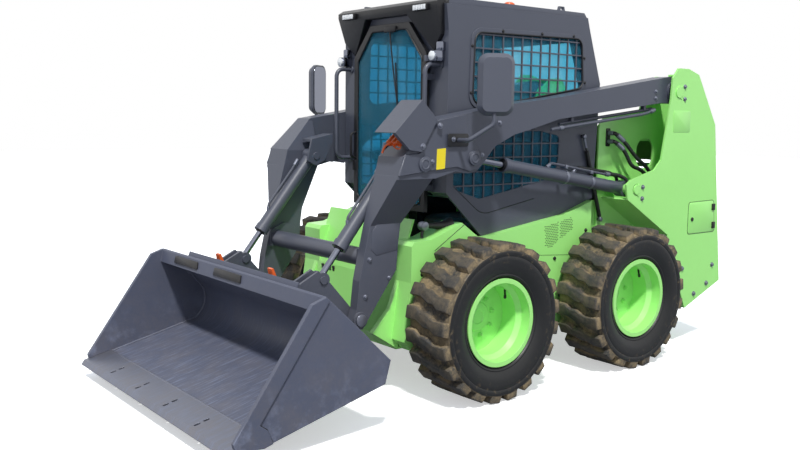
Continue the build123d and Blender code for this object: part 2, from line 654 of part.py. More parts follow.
with BuildPart() as arm:
    slab(ARM_SIDE, BEAM_IN, BEAM_OUT)
    with BuildSketch(side_plane(BEAM_IN + ARM_WALL)):
        outline(ARM_SIDE)
        offset(amount=-ARM_WALL, kind=Kind.INTERSECTION, mode=Mode.REPLACE)
    extrude(amount=BEAM_OUT - BEAM_IN - 2 * ARM_WALL, mode=Mode.SUBTRACT)
    slab(KNEE_OPEN, BEAM_IN + ARM_WALL, BEAM_OUT - ARM_WALL, Mode.SUBTRACT)
    # knee runs in to the leg's width
    with BuildSketch(Plane.XY.offset(1150)):
        with Locations(((LEG_IN + BEAM_OUT) / 2, (-783 - 556) / 2)):
            Rectangle(BEAM_OUT - LEG_IN, 783 - 556)
    with BuildSketch(Plane.XY.offset(905)):
        with Locations(((LEG_IN + LEG_OUT) / 2, (-850 - 665) / 2)):
            Rectangle(LEG_OUT - LEG_IN, 850 - 665)
    loft()
    with BuildSketch(Plane.XZ.offset(560)):
        outline([(LEG_IN, 1149), (BEAM_IN + 1, 1149), (BEAM_IN + 1, 1400), (BEAM_IN - 4, 1400),
                 (LEG_IN, 1235)])
    wedge = extrude(amount=230, mode=Mode.PRIVATE)
    with BuildSketch(side_plane(LEG_IN)):
        outline([(-556, 1149), (-783, 1149), (-760, 1240), (-575, 1415), (-556, 1415)])
    knee_face = extrude(amount=BEAM_IN + 1 - LEG_IN, mode=Mode.PRIVATE)
    add(wedge & knee_face)
    slab(LEG_SIDE, LEG_IN, LEG_OUT)
    # thicker plate over the knee and the lift eye
    slab(DOUBLER, BEAM_OUT - 1, BEAM_OUT + DOUBLER_T)
    # pivot boss, lift rod stubs, tilt bracket and attach pin
    drum(ARM_PIVOT, ARM_PIN_R + 30, BEAM_IN - 14, BEAM_OUT + 14)
    drum(ARM_PIVOT, ARM_PIN_R + RUN, BEAM_IN - 20, BEAM_OUT + 20, Mode.SUBTRACT)
    drum(LIFT_EYE, LIFT_PIN_R + 10, BEAM_IN, LIFT_X - EYE_W / 2 - 3)
    drum(LIFT_EYE, LIFT_PIN_R + 10, LIFT_X + EYE_W / 2 + 3, BEAM_OUT + 16)
    drum(TILT_BASE, TILT_PIN_R, BRACKET_IN - 6, LEG_IN + 4)
    slab([(-690, 1180), (-660, 1300), (-520, 1330), (-520, 1290), (-575, 1180), (-632, 1150)],
         BRACKET_IN, BRACKET_IN + 14)
    slab([(-660, 1285), (-660, 1300), (-520, 1330), (-520, 1315)], BRACKET_IN, LEG_IN + 2)
    drum(ATTACH_PIN, ATTACH_PIN_R, TILT_X - EYE_W / 2 - 26, LEG_OUT + 10)
    drum(ATTACH_PIN, 40, LEG_OUT - 2, LEG_OUT + 10)
for name in SIDES:
    save_mirrored(arm.part, "arm", name)

CROSS_TUBE = (-828.0, 740.0)
with BuildPart() as cross_tube:
    drum(CROSS_TUBE, 45, -LEG_IN + FIT, LEG_IN - FIT)
    for s in SIDES.values():
        slab([(-880, 700), (-880, 790), (-790, 830), (-720, 800), (-720, 700)],
             s * (LEG_IN - FIT), s * (LEG_IN - 12))
save(cross_tube.part, "cross_tube")

KNEE_TOP, KNEE_LOW = (-575.0, 1415.0), (-760.0, 1240.0)
KNEE_RUN = hypot(KNEE_LOW[0] - KNEE_TOP[0], KNEE_LOW[1] - KNEE_TOP[1])
KNEE_DOWN = ((KNEE_LOW[0] - KNEE_TOP[0]) / KNEE_RUN, (KNEE_LOW[1] - KNEE_TOP[1]) / KNEE_RUN)


def knee_front(along_it, off_it):
    """Point on the knee's sloping front, from its top corner, as (y, z)."""
    return (KNEE_TOP[0] + along_it * KNEE_DOWN[0] + off_it * KNEE_DOWN[1],
            KNEE_TOP[1] + along_it * KNEE_DOWN[1] - off_it * KNEE_DOWN[0])


GUARD_OUT = 646.0
GUARD_IN = 484.0
with BuildPart() as coupler_guard:
    slab([(-665, 1265), (-738, 1275), (-827, 1356), (-666, 1512), (-569, 1417)],
         BEAM_OUT + FIT, GUARD_OUT)
    slab([(-827, 1356), (-666, 1512), (-666, 1503), (-820, 1354)], GUARD_IN, GUARD_OUT)
    slab([(-666, 1512), (-666, 1503), (-600, 1430), (-590, 1440)], GUARD_IN, GUARD_OUT)
    # bulkhead on the knee's sloping front that the couplers stick out of
    slab([(knee_front(s, h)) for s, h in ((140, FIT), (140, 82), (156, 82), (156, FIT))], 498, 606)
save(coupler_guard.part, "coupler_guard")

with BuildPart() as couplers:
    for x in (515, 552, 589):
        y, z = knee_front(156 + FIT, 46)
        with BuildSketch(Plane(origin=(x, y, z), x_dir=(1, 0, 0), z_dir=(0, *KNEE_DOWN))):
            Circle(17)
        extrude(amount=70)
save(couplers.part, "couplers")

MIRROR_FACE = (0.52, 0.854)     # way a mirror's width runs, (x, y) at the left
with BuildPart() as mirrors:
    for s in SIDES.values():
        root = BEAM_OUT + DOUBLER_T + FIT
        slab([(-497, 1290), (-365, 1290), (-365, 1350), (-497, 1350)], s * root, s * (root + 10))
        with BuildLine() as stalk_path:
            FilletPolyline((s * (root + 5), -430, 1320), (s * 715, -430, 1320),
                           (s * 792, -335, 1400), (s * 792, -335, 1560), radius=30)
        with BuildSketch(Plane(origin=stalk_path.line @ 0, z_dir=stalk_path.line % 0)):
            Circle(11)
        sweep(path=stalk_path.line)
        # flat glass with its rim, then the domed back that looks out and ahead
        face = Plane(origin=(s * 780, -320, 1590), x_dir=(s * MIRROR_FACE[0], MIRROR_FACE[1], 0),
                     z_dir=(s * MIRROR_FACE[1], -MIRROR_FACE[0], 0))
        with BuildSketch(face):
            RectangleRounded(180, 300, 50)
        extrude(amount=14)
        with BuildSketch(face.offset(14)):
            RectangleRounded(180, 300, 50)
        extrude(amount=26, taper=38)
save(mirrors.part, "mirrors")


def beam_bottom(y):
    """Height of the beam's lower edge over its straight stretch."""
    return 1429 + (y - 326) * (1534 - 1429) / (1229 - 326)


with BuildPart() as arm_pipes:
    for s in SIDES.values():
        x = s * (BEAM_OUT - 30)
        with BuildLine() as pipe_path:
            Polyline((x, 350, beam_bottom(350) - 30), (x, 1170, beam_bottom(1170) - 30))
        with BuildSketch(Plane(origin=pipe_path.line @ 0, z_dir=pipe_path.line % 0)):
            Circle(9)
        sweep(path=pipe_path.line)
        for y in (450, 1090):
            slab([(y - 10, beam_bottom(y - 10) - FIT), (y + 10, beam_bottom(y + 10) - FIT),
                  (y + 10, beam_bottom(y) - 32), (y - 10, beam_bottom(y) - 32)], x - 12, x + 12)
save(arm_pipes.part, "arm_pipes")


# ---------------------------------------------------------------- cylinders
def along(start, end):
    """Unit direction from one pin to the other, as (y, z)."""
    y, z = end[0] - start[0], end[1] - start[1]
    run = hypot(y, z)
    return y / run, z / run


def barrel_and_rod(x, base, eye, barrel_r, barrel_l, rod_r, rod_l, base_pin_r, base_w, eye_r):
    """One cylinder as a bored barrel and a rod with its eye."""
    dy, dz = along(base, eye)
    axis = Plane(origin=(x, base[0], base[1]), x_dir=(1, 0, 0), z_dir=(0, dy, dz))
    gland_r = rod_r + RUN
    with BuildPart() as barrel:
        with BuildSketch(axis.offset(base_pin_r + 6)):
            Circle(barrel_r)
        extrude(amount=barrel_l - base_pin_r - 6)
        with BuildSketch(axis.offset(barrel_l - 34)):
            Circle(barrel_r + 4)
        extrude(amount=34)
        drum(base, base_pin_r + 20, x - base_w / 2, x + base_w / 2)
        drum(base, base_pin_r + RUN, x - base_w, x + base_w, Mode.SUBTRACT)
        with BuildSketch(axis.offset(base_pin_r + 26)):
            Circle(barrel_r - 7)
        extrude(amount=barrel_l - base_pin_r - 26 - 30, mode=Mode.SUBTRACT)
        with BuildSketch(axis.offset(barrel_l - 40)):
            Circle(gland_r)
        extrude(amount=50, mode=Mode.SUBTRACT)
    reach = hypot(eye[0] - base[0], eye[1] - base[1])
    with BuildPart() as rod:
        with BuildSketch(axis.offset(reach - rod_l)):
            Circle(rod_r)
        extrude(amount=rod_l - eye_r / 2)
        drum(eye, eye_r, x - EYE_W / 2, x + EYE_W / 2)
    return barrel.part, rod.part


lift_barrel, lift_rod = barrel_and_rod(
    LIFT_X, LIFT_BASE, LIFT_EYE, LIFT_BARREL_R, LIFT_BARREL_L, LIFT_ROD_R, LIFT_ROD_L, LIFT_PIN_R, 60, 40)
tilt_barrel, tilt_rod = barrel_and_rod(
    TILT_X, TILT_BASE, TILT_EYE, TILT_BARREL_R, TILT_BARREL_L, TILT_ROD_R, TILT_ROD_L, TILT_PIN_R, 70, 34)
for name in SIDES:
    save_mirrored(lift_barrel, "lift_barrel", name)
    save_mirrored(lift_rod, "lift_rod", name)
    save_mirrored(tilt_barrel, "tilt_barrel", name)
    save_mirrored(tilt_rod, "tilt_rod", name)


# ---------------------------------------------------------------- bucket and attach plate
def floor_point(s, n):
    """Point at s along the bucket's floor and n square to it, as (y, z)."""
    c, d = cos(radians(BUCKET_TILT)), sin(radians(BUCKET_TILT))
    return BUCKET_TIP[0] + s * c - n * d, BUCKET_TIP[1] + s * d + n * c


def bucket_plane(x):
    """Plane at x with its x along the bucket's floor and its y square to it."""
    slope = radians(BUCKET_TILT)
    return Plane(origin=(x, *BUCKET_TIP), x_dir=(0, cos(slope), sin(slope)), z_dir=(1, 0, 0))


HEEL_HIGH = (877.1, 58.0)
LIP_BACK = (609.5, 468.4)
BACK_L = hypot(LIP_BACK[0] - HEEL_HIGH[0], LIP_BACK[1] - HEEL_HIGH[1])
BACK_S = (LIP_BACK[0] - HEEL_HIGH[0]) / BACK_L
BACK_N = (LIP_BACK[1] - HEEL_HIGH[1]) / BACK_L


def back_point(t, d):
    """Point t up the bucket's back from its heel and d behind it, as (y, z)."""
    return floor_point(HEEL_HIGH[0] + t * BACK_S + d * BACK_N, HEEL_HIGH[1] + t * BACK_N - d * BACK_S)


def sheet_path(inset):
    """Floor, heel bend and back of the bucket's sheet, inset from its outside."""
    lip = (LIP_BACK[0] - inset * BACK_N, LIP_BACK[1] + inset * BACK_S)
    corner = (lip[0] - (lip[1] - inset) * BACK_S / BACK_N, inset)
    return FilletPolyline((EDGE_DEPTH + FIT, inset), corner, lip, radius=HEEL_R - inset)


SIDE_TIP = (47.0, 39.6)
SIDE_TOP = (531.2, 460.8)
SIDE_BACK = (604.9, 467.5)
with BuildPart() as bucket:
    with BuildSketch(bucket_plane(-BUCKET_X + 1)):
        with BuildLine():
            outside = sheet_path(0)
            inside = sheet_path(BUCKET_SHEET)
            Line(outside @ 0, inside @ 0)
            Line(outside @ 1, inside @ 1)
        make_face()
    extrude(amount=2 * BUCKET_X - 2)
    lip = inside @ 1
    slab([floor_point(*p) for p in
          ((lip.X, lip.Y), (571.4, 401.6), (612, 401.6), (612, 409.6), (584, 409.6), (611, 455))],
         -BUCKET_X + 1, BUCKET_X - 1)
    for s in SIDES.values():
        # side plate, whose lower edge hangs below the floor as a runner
        slab([floor_point(*p) for p in
              ((SIDE_TIP[0], EDGE_T + FIT), SIDE_TIP, SIDE_TOP, SIDE_BACK, (868.3, 65.7), (815, -30.4),
               (190, -37.8), (EDGE_DEPTH + FIT, -20), (EDGE_DEPTH + FIT, EDGE_T + FIT))],
             s * (BUCKET_X - SIDE_SHEET), s * BUCKET_X)
        # wear plate along its front, with a shoe over the end of the cutting edge
        slab([floor_point(*p) for p in
              (SIDE_TIP, SIDE_TOP, SIDE_BACK, (617, 449), (175, 66), (205, 30), (215, -36), (172, -37.5),
               (95, -14), (47, 8))],
             s * (BUCKET_X - 0.1), s * (BUCKET_X + 10))
    # hook strip that the attach plate hangs on
    slab([back_point(*p) for p in ((452, -1), (470, 36), (478, 32), (462, -1))], -560, 560)
save(bucket.part, "bucket")

SLOT_PITCH = 328.0
with BuildPart() as cutting_edge:
    slab([floor_point(*p) for p in ((0, 0), (22, EDGE_T), (EDGE_DEPTH, EDGE_T), (EDGE_DEPTH, 0))],
         -BUCKET_X + FIT, BUCKET_X - FIT)
    # slots in pairs for bolt-on teeth
    slope = radians(BUCKET_TILT)
    with BuildSketch(Plane(origin=(0, *BUCKET_TIP), x_dir=(1, 0, 0), z_dir=(0, -sin(slope), cos(slope)))):
        for s in (55, 100):
            with Locations((0, s)):
                with GridLocations(SLOT_PITCH, 10, 4, 1):
                    SlotOverall(30, 17, rotation=90)
    extrude(amount=EDGE_T + 1, mode=Mode.SUBTRACT)
save(cutting_edge.part, "cutting_edge")

EAR_T = 15.0
EAR_X = [(TILT_X - EYE_W / 2 - 3 - EAR_T, TILT_X - EYE_W / 2 - 3),
         (TILT_X + EYE_W / 2 + 3, TILT_X + EYE_W / 2 + 3 + EAR_T)]
with BuildPart() as quick_attach:
    slab([back_point(*p) for p in ((14, FIT), (450, FIT), (466, 30), (456, 36), (440, 14), (14, 14))],
         -558, 558)
    for s in SIDES.values():
        for x0, x1 in EAR_X:
            slab([back_point(*p) for p in ((16, 10), (400, 10), (340, 176), (250, 176), (70, 160), (-10, 150),
                                           (-14, 100))],
                 s * x0, s * x1)
            drum(ATTACH_PIN, ATTACH_PIN_R + 18, s * x0, s * x1)
            drum(TILT_EYE, 36, s * x0, s * x1)
            drum(ATTACH_PIN, ATTACH_PIN_R + RUN, s * x0, s * x1, Mode.SUBTRACT)
        drum(TILT_EYE, TILT_PIN_R, s * (EAR_X[0][0] - 8), s * (EAR_X[0][0] + 1))
        drum(TILT_EYE, TILT_PIN_R, s * (EAR_X[1][1] - 1), s * (EAR_X[1][1] + 8))
save(quick_attach.part, "quick_attach")

with BuildPart() as latch_levers:
    for s in SIDES.values():
        slab([back_point(*p) for p in ((330, 14 + FIT), (330, 40), (400, 40), (470, 70), (476, 60), (410, 14 + FIT))],
             s * 250, s * 290)
save(latch_levers.part, "latch_levers")
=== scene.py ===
"""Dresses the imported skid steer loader: its finishes, and the small pieces that its frame leaves out."""

import json
import math

import bpy
from bpy.props import FloatProperty, FloatVectorProperty, IntProperty, PointerProperty
from mathutils import Matrix, Vector


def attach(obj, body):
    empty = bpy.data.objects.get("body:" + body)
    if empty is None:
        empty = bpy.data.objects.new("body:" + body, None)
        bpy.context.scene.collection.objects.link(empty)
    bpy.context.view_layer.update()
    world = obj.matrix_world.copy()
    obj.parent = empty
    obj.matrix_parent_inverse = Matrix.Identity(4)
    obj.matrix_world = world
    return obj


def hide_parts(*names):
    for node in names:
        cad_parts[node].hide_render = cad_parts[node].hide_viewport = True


bl_info = {
    "name": "Skid steer loader dressing",
    "version": (1, 0, 0),
    "blender": (4, 5, 0),
    "location": "View3D > Sidebar > Loader",
    "description": "Finishes, tyres, trim and stage for a skid steer loader",
    "category": "Object",
}

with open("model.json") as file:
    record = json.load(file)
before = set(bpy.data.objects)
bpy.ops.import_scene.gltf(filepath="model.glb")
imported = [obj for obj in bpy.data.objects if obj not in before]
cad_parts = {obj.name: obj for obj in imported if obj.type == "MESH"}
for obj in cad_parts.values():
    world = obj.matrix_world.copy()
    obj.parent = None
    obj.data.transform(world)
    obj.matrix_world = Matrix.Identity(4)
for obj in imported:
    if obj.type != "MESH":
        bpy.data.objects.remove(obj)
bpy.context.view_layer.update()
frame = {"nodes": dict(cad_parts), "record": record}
SLOT_OF = {row["node"]: row["material_slot"] for row in frame["record"]["subparts"]}
SIDES = {"left": 1, "right": -1}
AXLE_Y = {"front": -0.290, "rear": 0.810}
WHEEL_X = 0.680
TYRE_R = 0.410
BOLT_CIRCLE = 0.1016
SHOULDER_R = 0.3700                                                     # where a tyre's side wall meets its tread
EYES = ((0.4, 0.518), (-0.4, 0.518), (0.4, -0.261), (-0.4, -0.261))     # (x, y) of the lifting eyes' bores
EYE_Z = 2.050


# ---------------------------------------------------------------- settings
def tint(red, green, blue):
    """A colour as printed, 0 to 255, in scene linear values."""
    out = []
    for value in (red, green, blue):
        part = value / 255
        out.append(part / 12.92 if part <= 0.04045 else ((part + 0.055) / 1.055) ** 2.4)
    return tuple(out)


def colour(name, description, red, green, blue):
    """A colour property with its default."""
    return FloatVectorProperty(name=name, description=description, subtype="COLOR", size=3, min=0, max=1,
                               default=tint(red, green, blue))


class LoaderColours(bpy.types.PropertyGroup):
    """Colours of the loader's finishes."""
    body: colour("Body", "Fresh green of the hull, towers and rims", 166, 240, 132)
    boom: colour("Boom", "Dark grey of the arms and the cab", 74, 78, 91)
    trim: colour("Trim", "Black of the door frame and brow", 13, 14, 19)
    bucket: colour("Bucket", "Grey of the bucket", 80, 85, 103)
    steel: colour("Steel", "Scraped steel of the cutting edge", 128, 132, 146)
    scrape: colour("Scrape", "Fresh scrapes in the bucket", 134, 142, 166)
    rubber: colour("Rubber", "Side walls of the tyres", 18, 19, 21)
    lug: colour("Lugs", "Worn rubber of the tread", 52, 53, 54)
    dust: colour("Dust", "Dry soil on the tread", 158, 138, 104)
    glass: colour("Glass", "Tint of the cab glass", 84, 178, 208)
    lever: colour("Levers", "Orange of the couplers and latch levers", 226, 96, 34)
    seat: colour("Seat", "Seat vinyl", 34, 35, 38)
    plate: colour("Plate", "Yellow blank plates", 238, 216, 33)


class LoaderStage(bpy.types.PropertyGroup):
    """Floor and light."""
    floor: colour("Floor", "Pale floor and backdrop", 245, 246, 248)
    bounce: colour("Bounce", "Floor as the other surfaces see it", 150, 152, 158)
    sun: FloatProperty(name="Sun", description="Strength of the sun", default=3.4, min=0)
    sun_angle: FloatProperty(name="Sun size", description="Angle that the sun covers, in degrees", default=5, min=0)
    fill: FloatProperty(name="Fill light", description="Power of the light in front", default=45, min=0)
    sky: FloatProperty(name="Sky", description="Strength of the surrounding light", default=0.50, min=0)
    glow: FloatProperty(name="Floor glow", description="Light that the floor adds for the camera", default=0.5, min=0)


# ---------------------------------------------------------------- modelling helpers
def rest():
    """Leaves edit mode and selects nothing."""
    if bpy.context.object and bpy.context.object.mode != "OBJECT":
        bpy.ops.object.mode_set(mode="OBJECT")
    bpy.ops.object.select_all(action="DESELECT")


def only(*pieces):
    """Selects these pieces alone, the first one active."""
    rest()
    for piece in pieces:
        piece.select_set(True)
    bpy.context.view_layer.objects.active = pieces[0]


def named(name):
    """Names the piece that was just added."""
    piece = bpy.context.object
    piece.name = piece.data.name = name
    return piece


def settle(piece):
    """Puts a piece's place, turn and scale into its mesh."""
    only(piece)
    bpy.ops.object.transform_apply(location=True, rotation=True, scale=True)


def outward(piece, merge=0.00001):
    """Merges doubles and turns every face outwards."""
    only(piece)
    bpy.ops.object.mode_set(mode="EDIT")
    bpy.ops.mesh.select_all(action="SELECT")
    bpy.ops.mesh.remove_doubles(threshold=merge)
    bpy.ops.mesh.normals_make_consistent(inside=False)
    bpy.ops.object.mode_set(mode="OBJECT")


def modify(piece, kind, **values):
    """Adds a modifier and applies it."""
    only(piece)
    modifier = piece.modifiers.new(kind.lower(), kind)
    for key, value in values.items():
        setattr(modifier, key, value)
    bpy.ops.object.modifier_apply(modifier=modifier.name)


def soften(piece, width, segments=2, angle=35):
    """Rounds the sharp edges."""
    modify(piece, "BEVEL", width=width, segments=segments, limit_method="ANGLE", angle_limit=math.radians(angle))


def rounded(corners, radius, steps=4):
    """A flat outline with its corners turned into arcs."""
    out = []
    count = len(corners)
    for i, corner in enumerate(corners):
        here = Vector(corner)
        back = Vector(corners[i - 1]) - here
        ahead = Vector(corners[(i + 1) % count]) - here
        half = back.angle(ahead) / 2
        reach = min(radius / math.tan(half), back.length * 0.49, ahead.length * 0.49)
        true_radius = reach * math.tan(half)
        middle = here + (back.normalized() + ahead.normalized()).normalized() * (true_radius / math.sin(half))
        first = here + back.normalized() * reach - middle
        last = here + ahead.normalized() * reach - middle
        sweep = math.atan2(first.x * last.y - first.y * last.x, first.dot(last))
        for step in range(steps + 1):
            turn = sweep * step / steps
            out.append((middle.x + first.x * math.cos(turn) - first.y * math.sin(turn),
                        middle.y + first.x * math.sin(turn) + first.y * math.cos(turn)))
    return out


def sheet(name, corners, push):
    """A flat face through the corners, extruded by push."""
    rest()
    bpy.ops.mesh.primitive_circle_add(vertices=len(corners), radius=1, fill_type="NGON")
    piece = named(name)
    for vertex, corner in zip(piece.data.vertices, corners):
        vertex.co = corner
    bpy.ops.object.mode_set(mode="EDIT")
    bpy.ops.mesh.select_all(action="SELECT")
    bpy.ops.mesh.extrude_region_move(TRANSFORM_OT_translate={"value": push})
    bpy.ops.object.mode_set(mode="OBJECT")
    outward(piece)
    return piece


def side_plate(name, corners, low, high):
    """A plate drawn in (y, z), from x low to x high."""
    return sheet(name, [(low, y, z) for y, z in corners], (high - low, 0, 0))


def bar(name, start, end, radius, sides=24):
    """A round bar between two points."""
    start, end = Vector(start), Vector(end)
    rest()
    bpy.ops.mesh.primitive_cylinder_add(vertices=sides, radius=radius, depth=(end - start).length,
                                        location=(start + end) / 2,
                                        rotation=(end - start).to_track_quat("Z", "Y").to_euler())
    piece = named(name)
    settle(piece)
    return piece


def join(name, pieces):
    """One piece from several."""
    only(*pieces)
    if len(pieces) > 1:
        bpy.ops.object.join()
    return named(name)


def mirrored(piece, name):
    """A copy on the other side of the machine."""
    only(piece)
    bpy.ops.object.duplicate()
    twin = named(name)
    twin.scale.x = -1
    settle(twin)
    outward(twin, 0)
    return twin


def finish(piece, material, body, angle=32):
    """Gives a finished piece its material, its shading and its body."""
    piece.data.materials.clear()
    piece.data.materials.append(material)
    only(piece)
    bpy.ops.object.shade_smooth_by_angle(angle=math.radians(angle))
    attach(piece, body)
    return piece


# ---------------------------------------------------------------- shader groups
class Nodes:
    """Places and joins nodes in one tree."""

    def __init__(self, tree):
        self.tree = tree

    def add(self, kind, **settings):
        node = self.tree.nodes.new("ShaderNode" + kind)
        for key, value in settings.items():
            if key in node.bl_rna.properties:
                setattr(node, key, value)
            else:
                self.put(node.inputs[key.replace("_", " ")], value)
        return node

    def put(self, socket, value):
        """Joins an output to a socket, or sets its value."""
        if isinstance(value, bpy.types.NodeSocket):
            self.tree.links.new(value, socket)
        elif socket.type == "RGBA" and len(value) == 3:
            socket.default_value = (*value, 1)
        else:
            socket.default_value = value

    def maths(self, operation, first, second=0.0, clamp=False):
        node = self.add("Math", operation=operation, use_clamp=clamp)
        self.put(node.inputs[0], first)
        self.put(node.inputs[1], second)
        return node.outputs[0]

    def blend(self, factor, first, second, mode="MIX"):
        node = self.add("Mix", data_type="RGBA", blend_type=mode)
        self.put(node.inputs[0], factor)
        self.put(node.inputs[6], first)
        self.put(node.inputs[7], second)
        return node.outputs[2]

    def noise(self, place, scale, detail=3.0, roughness=0.55, stretch=(1, 1, 1)):
        mapping = self.add("Mapping", Vector=place, Scale=stretch)
        return self.add("TexNoise", Vector=mapping.outputs[0], Scale=scale, Detail=detail,
                        Roughness=roughness).outputs[0]

    def ramp(self, value, low, high, out_low=0.0, out_high=1.0):
        node = self.add("MapRange")
        for socket, amount in zip(node.inputs, (value, low, high, out_low, out_high)):
            self.put(socket, amount)
        return node.outputs[0]


def new_group(name, inputs, outputs):
    """A shader group with its named sockets, and its input and output nodes."""
    group = bpy.data.node_groups.new(name, "ShaderNodeTree")
    for label, kind, default in inputs:
        socket = group.interface.new_socket(name=label, in_out="INPUT", socket_type="NodeSocket" + kind)
        if default is not None:
            socket.default_value = default
    for label, kind in outputs:
        group.interface.new_socket(name=label, in_out="OUTPUT", socket_type="NodeSocket" + kind)
    return group, group.nodes.new("NodeGroupInput"), group.nodes.new("NodeGroupOutput")


def weathering_group():
    """Mottling, dust towards the ground, rubbed edges and a fine grain."""
    group, given, result = new_group("Weathering", [
        ("Colour", "Color", None), ("Dust Colour", "Color", None), ("Edge Colour", "Color", None),
        ("Mottle", "Float", 0.1), ("Dust", "Float", 0.1), ("Dust Top", "Float", 0.9), ("Edge", "Float", 0.3),
        ("Edge Width", "Float", 0.003), ("Roughness", "Float", 0.4), ("Grain Scale", "Float", 400.0)],
        [("Colour", "Color"), ("Roughness", "Float"), ("Grain", "Float"), ("Rounded", "Vector")])
    n = Nodes(group)
    g = given.outputs
    place = n.add("TexCoord").outputs["Object"]
    height = n.add("SeparateXYZ", Vector=place).outputs["Z"]
    # broad and small mottling
    broad = n.noise(place, 2.6, 4.0)
    small = n.noise(place, 38.0, 5.0, 0.65)
    shade = n.maths("ADD", n.maths("MULTIPLY", broad, 0.6), n.maths("MULTIPLY", small, 0.4))
    shade = n.maths("ADD", 1.0, n.maths("MULTIPLY", n.maths("SUBTRACT", shade, 0.5), g["Mottle"]))
    value = n.add("HueSaturation", Color=g["Colour"], Value=shade).outputs[0]
    # dust gathers low down and in patches
    low = n.ramp(height, 0.0, g["Dust Top"], 1.0, 0.0)
    patch = n.ramp(n.noise(place, 7.0, 6.0, 0.7), 0.42, 0.75)
    speck = n.ramp(n.noise(place, 90.0, 3.0, 0.6), 0.45, 0.7)
    dust = n.maths("MULTIPLY", n.maths("MULTIPLY", low, n.maths("ADD", n.maths("MULTIPLY", patch, 0.8),
                                                                 n.maths("MULTIPLY", speck, 0.35))), g["Dust"], True)
    dusty = n.blend(dust, value, g["Dust Colour"])
    # rubbed edges
    rounded_normal = n.add("Bevel", samples=4, Radius=g["Edge Width"]).outputs[0]
    facing = n.add("VectorMath", operation="DOT_PRODUCT")
    n.put(facing.inputs[0], rounded_normal)
    n.put(facing.inputs[1], n.add("NewGeometry").outputs["True Normal"])
    near_edge = n.ramp(facing.outputs["Value"], 0.995, 0.88)
    rubbed = n.maths("MULTIPLY", n.maths("MULTIPLY", near_edge, n.ramp(n.noise(place, 24.0, 5.0, 0.7), 0.38, 0.6)),
                     g["Edge"], True)
    n.put(result.inputs["Colour"], n.blend(rubbed, dusty, g["Edge Colour"]))
    rough = n.maths("ADD", g["Roughness"], n.maths("MULTIPLY", n.maths("SUBTRACT", small, 0.5), 0.18))
    n.put(result.inputs["Roughness"], n.maths("ADD", rough, n.maths("MULTIPLY", dust, 0.35), True))
    n.put(result.inputs["Grain"], n.noise(place, g["Grain Scale"], 2.0))
    n.put(result.inputs["Rounded"], rounded_normal)
    return group


# ---------------------------------------------------------------- finishes
FINISH_COLUMNS = ("mottle", "dust", "dust_top", "edge", "edge_width", "roughness", "grain_scale", "grain_depth",
                  "metallic", "coat")
FINISHES = {
    "green_paint": ("body", "boom", (0.10, 0.10, 0.9, 0.10, 0.003, 0.34, 500, 0.00004, 0.0, 0.35)),
    "dark_paint": ("boom", "steel", (0.16, 0.10, 1.2, 0.22, 0.003, 0.42, 700, 0.00005, 0.0, 0.1)),
    "black_paint": ("trim", "boom", (0.15, 0.08, 1.2, 0.20, 0.003, 0.40, 600, 0.00004, 0.0, 0.1)),
    "bucket_paint": ("bucket", "steel", (0.22, 0.16, 0.9, 0.45, 0.004, 0.46, 300, 0.00008, 0.0, 0.0)),
    "worn_steel": ("steel", "steel", (0.40, 0.25, 0.6, 0.10, 0.003, 0.42, 160, 0.00012, 0.85, 0.0)),
    "chrome_rod": ("steel", "steel", (0.05, 0.05, 0.6, 0.0, 0.001, 0.14, 900, 0.00001, 1.0, 0.0)),
    "orange_plastic": ("lever", "lever", (0.10, 0.08, 0.9, 0.15, 0.002, 0.36, 500, 0.00003, 0.0, 0.1)),
    "yellow_plate": ("plate", "plate", (0.08, 0.05, 0.9, 0.0, 0.001, 0.40, 500, 0.00002, 0.0, 0.1)),
    "seat_vinyl": ("seat", "boom", (0.12, 0.05, 0.9, 0.10, 0.003, 0.55, 900, 0.00010, 0.0, 0.0)),
    "black_plastic": ("trim", "boom", (0.12, 0.10, 1.0, 0.10, 0.002, 0.52, 900, 0.00008, 0.0, 0.0)),
    "engine_iron": ("trim", "steel", (0.25, 0.30, 1.5, 0.2, 0.003, 0.6, 200, 0.00020, 0.3, 0.0)),
}
SCRAPED = {"bucket_paint": 0.55, "worn_steel": 0.75}      # how much the soil has scraped these near the ground
MATERIALS = {}


def painted(slot, weathering):
    """One weathered finish from the table."""
    colours = bpy.context.scene.loader_colours
    base, edge, values = FINISHES[slot]
    row = dict(zip(FINISH_COLUMNS, values))
    material = bpy.data.materials.new(slot)
    material.use_nodes = True
    n = Nodes(material.node_tree)
    shader = material.node_tree.nodes["Principled BSDF"]
    worn = n.add("Group", node_tree=weathering)
    for label, value in (("Colour", getattr(colours, base)), ("Dust Colour", colours.dust),
                         ("Edge Colour", getattr(colours, edge)), ("Mottle", row["mottle"]), ("Dust", row["dust"]),
                         ("Dust Top", row["dust_top"]), ("Edge", row["edge"]), ("Edge Width", row["edge_width"]),
                         ("Roughness", row["roughness"]), ("Grain Scale", row["grain_scale"])):
        n.put(worn.inputs[label], value)
    bump = n.add("Bump", Height=worn.outputs["Grain"], Normal=worn.outputs["Rounded"], Strength=0.6,
                 Distance=row["grain_depth"])
    base_colour = worn.outputs["Colour"]
    if slot in SCRAPED:
        place = n.add("TexCoord").outputs["Object"]
        height = n.add("SeparateXYZ", Vector=place).outputs["Z"]
        streaks = n.ramp(n.noise(place, 9.0, 6.0, 0.7, (9, 0.7, 0.7)), 0.50, 0.66)
        scrape = n.maths("MULTIPLY", streaks, n.ramp(height, 0.10, 0.42, SCRAPED[slot], 0.0))
        base_colour = n.blend(scrape, base_colour, colours.scrape)
    n.put(shader.inputs["Base Color"], base_colour)
    n.put(shader.inputs["Roughness"], worn.outputs["Roughness"])
    n.put(shader.inputs["Normal"], bump.outputs[0])
    shader.inputs["Metallic"].default_value = row["metallic"]
    shader.inputs["Coat Weight"].default_value = row["coat"]
    shader.inputs["Coat Roughness"].default_value = 0.2
    return material


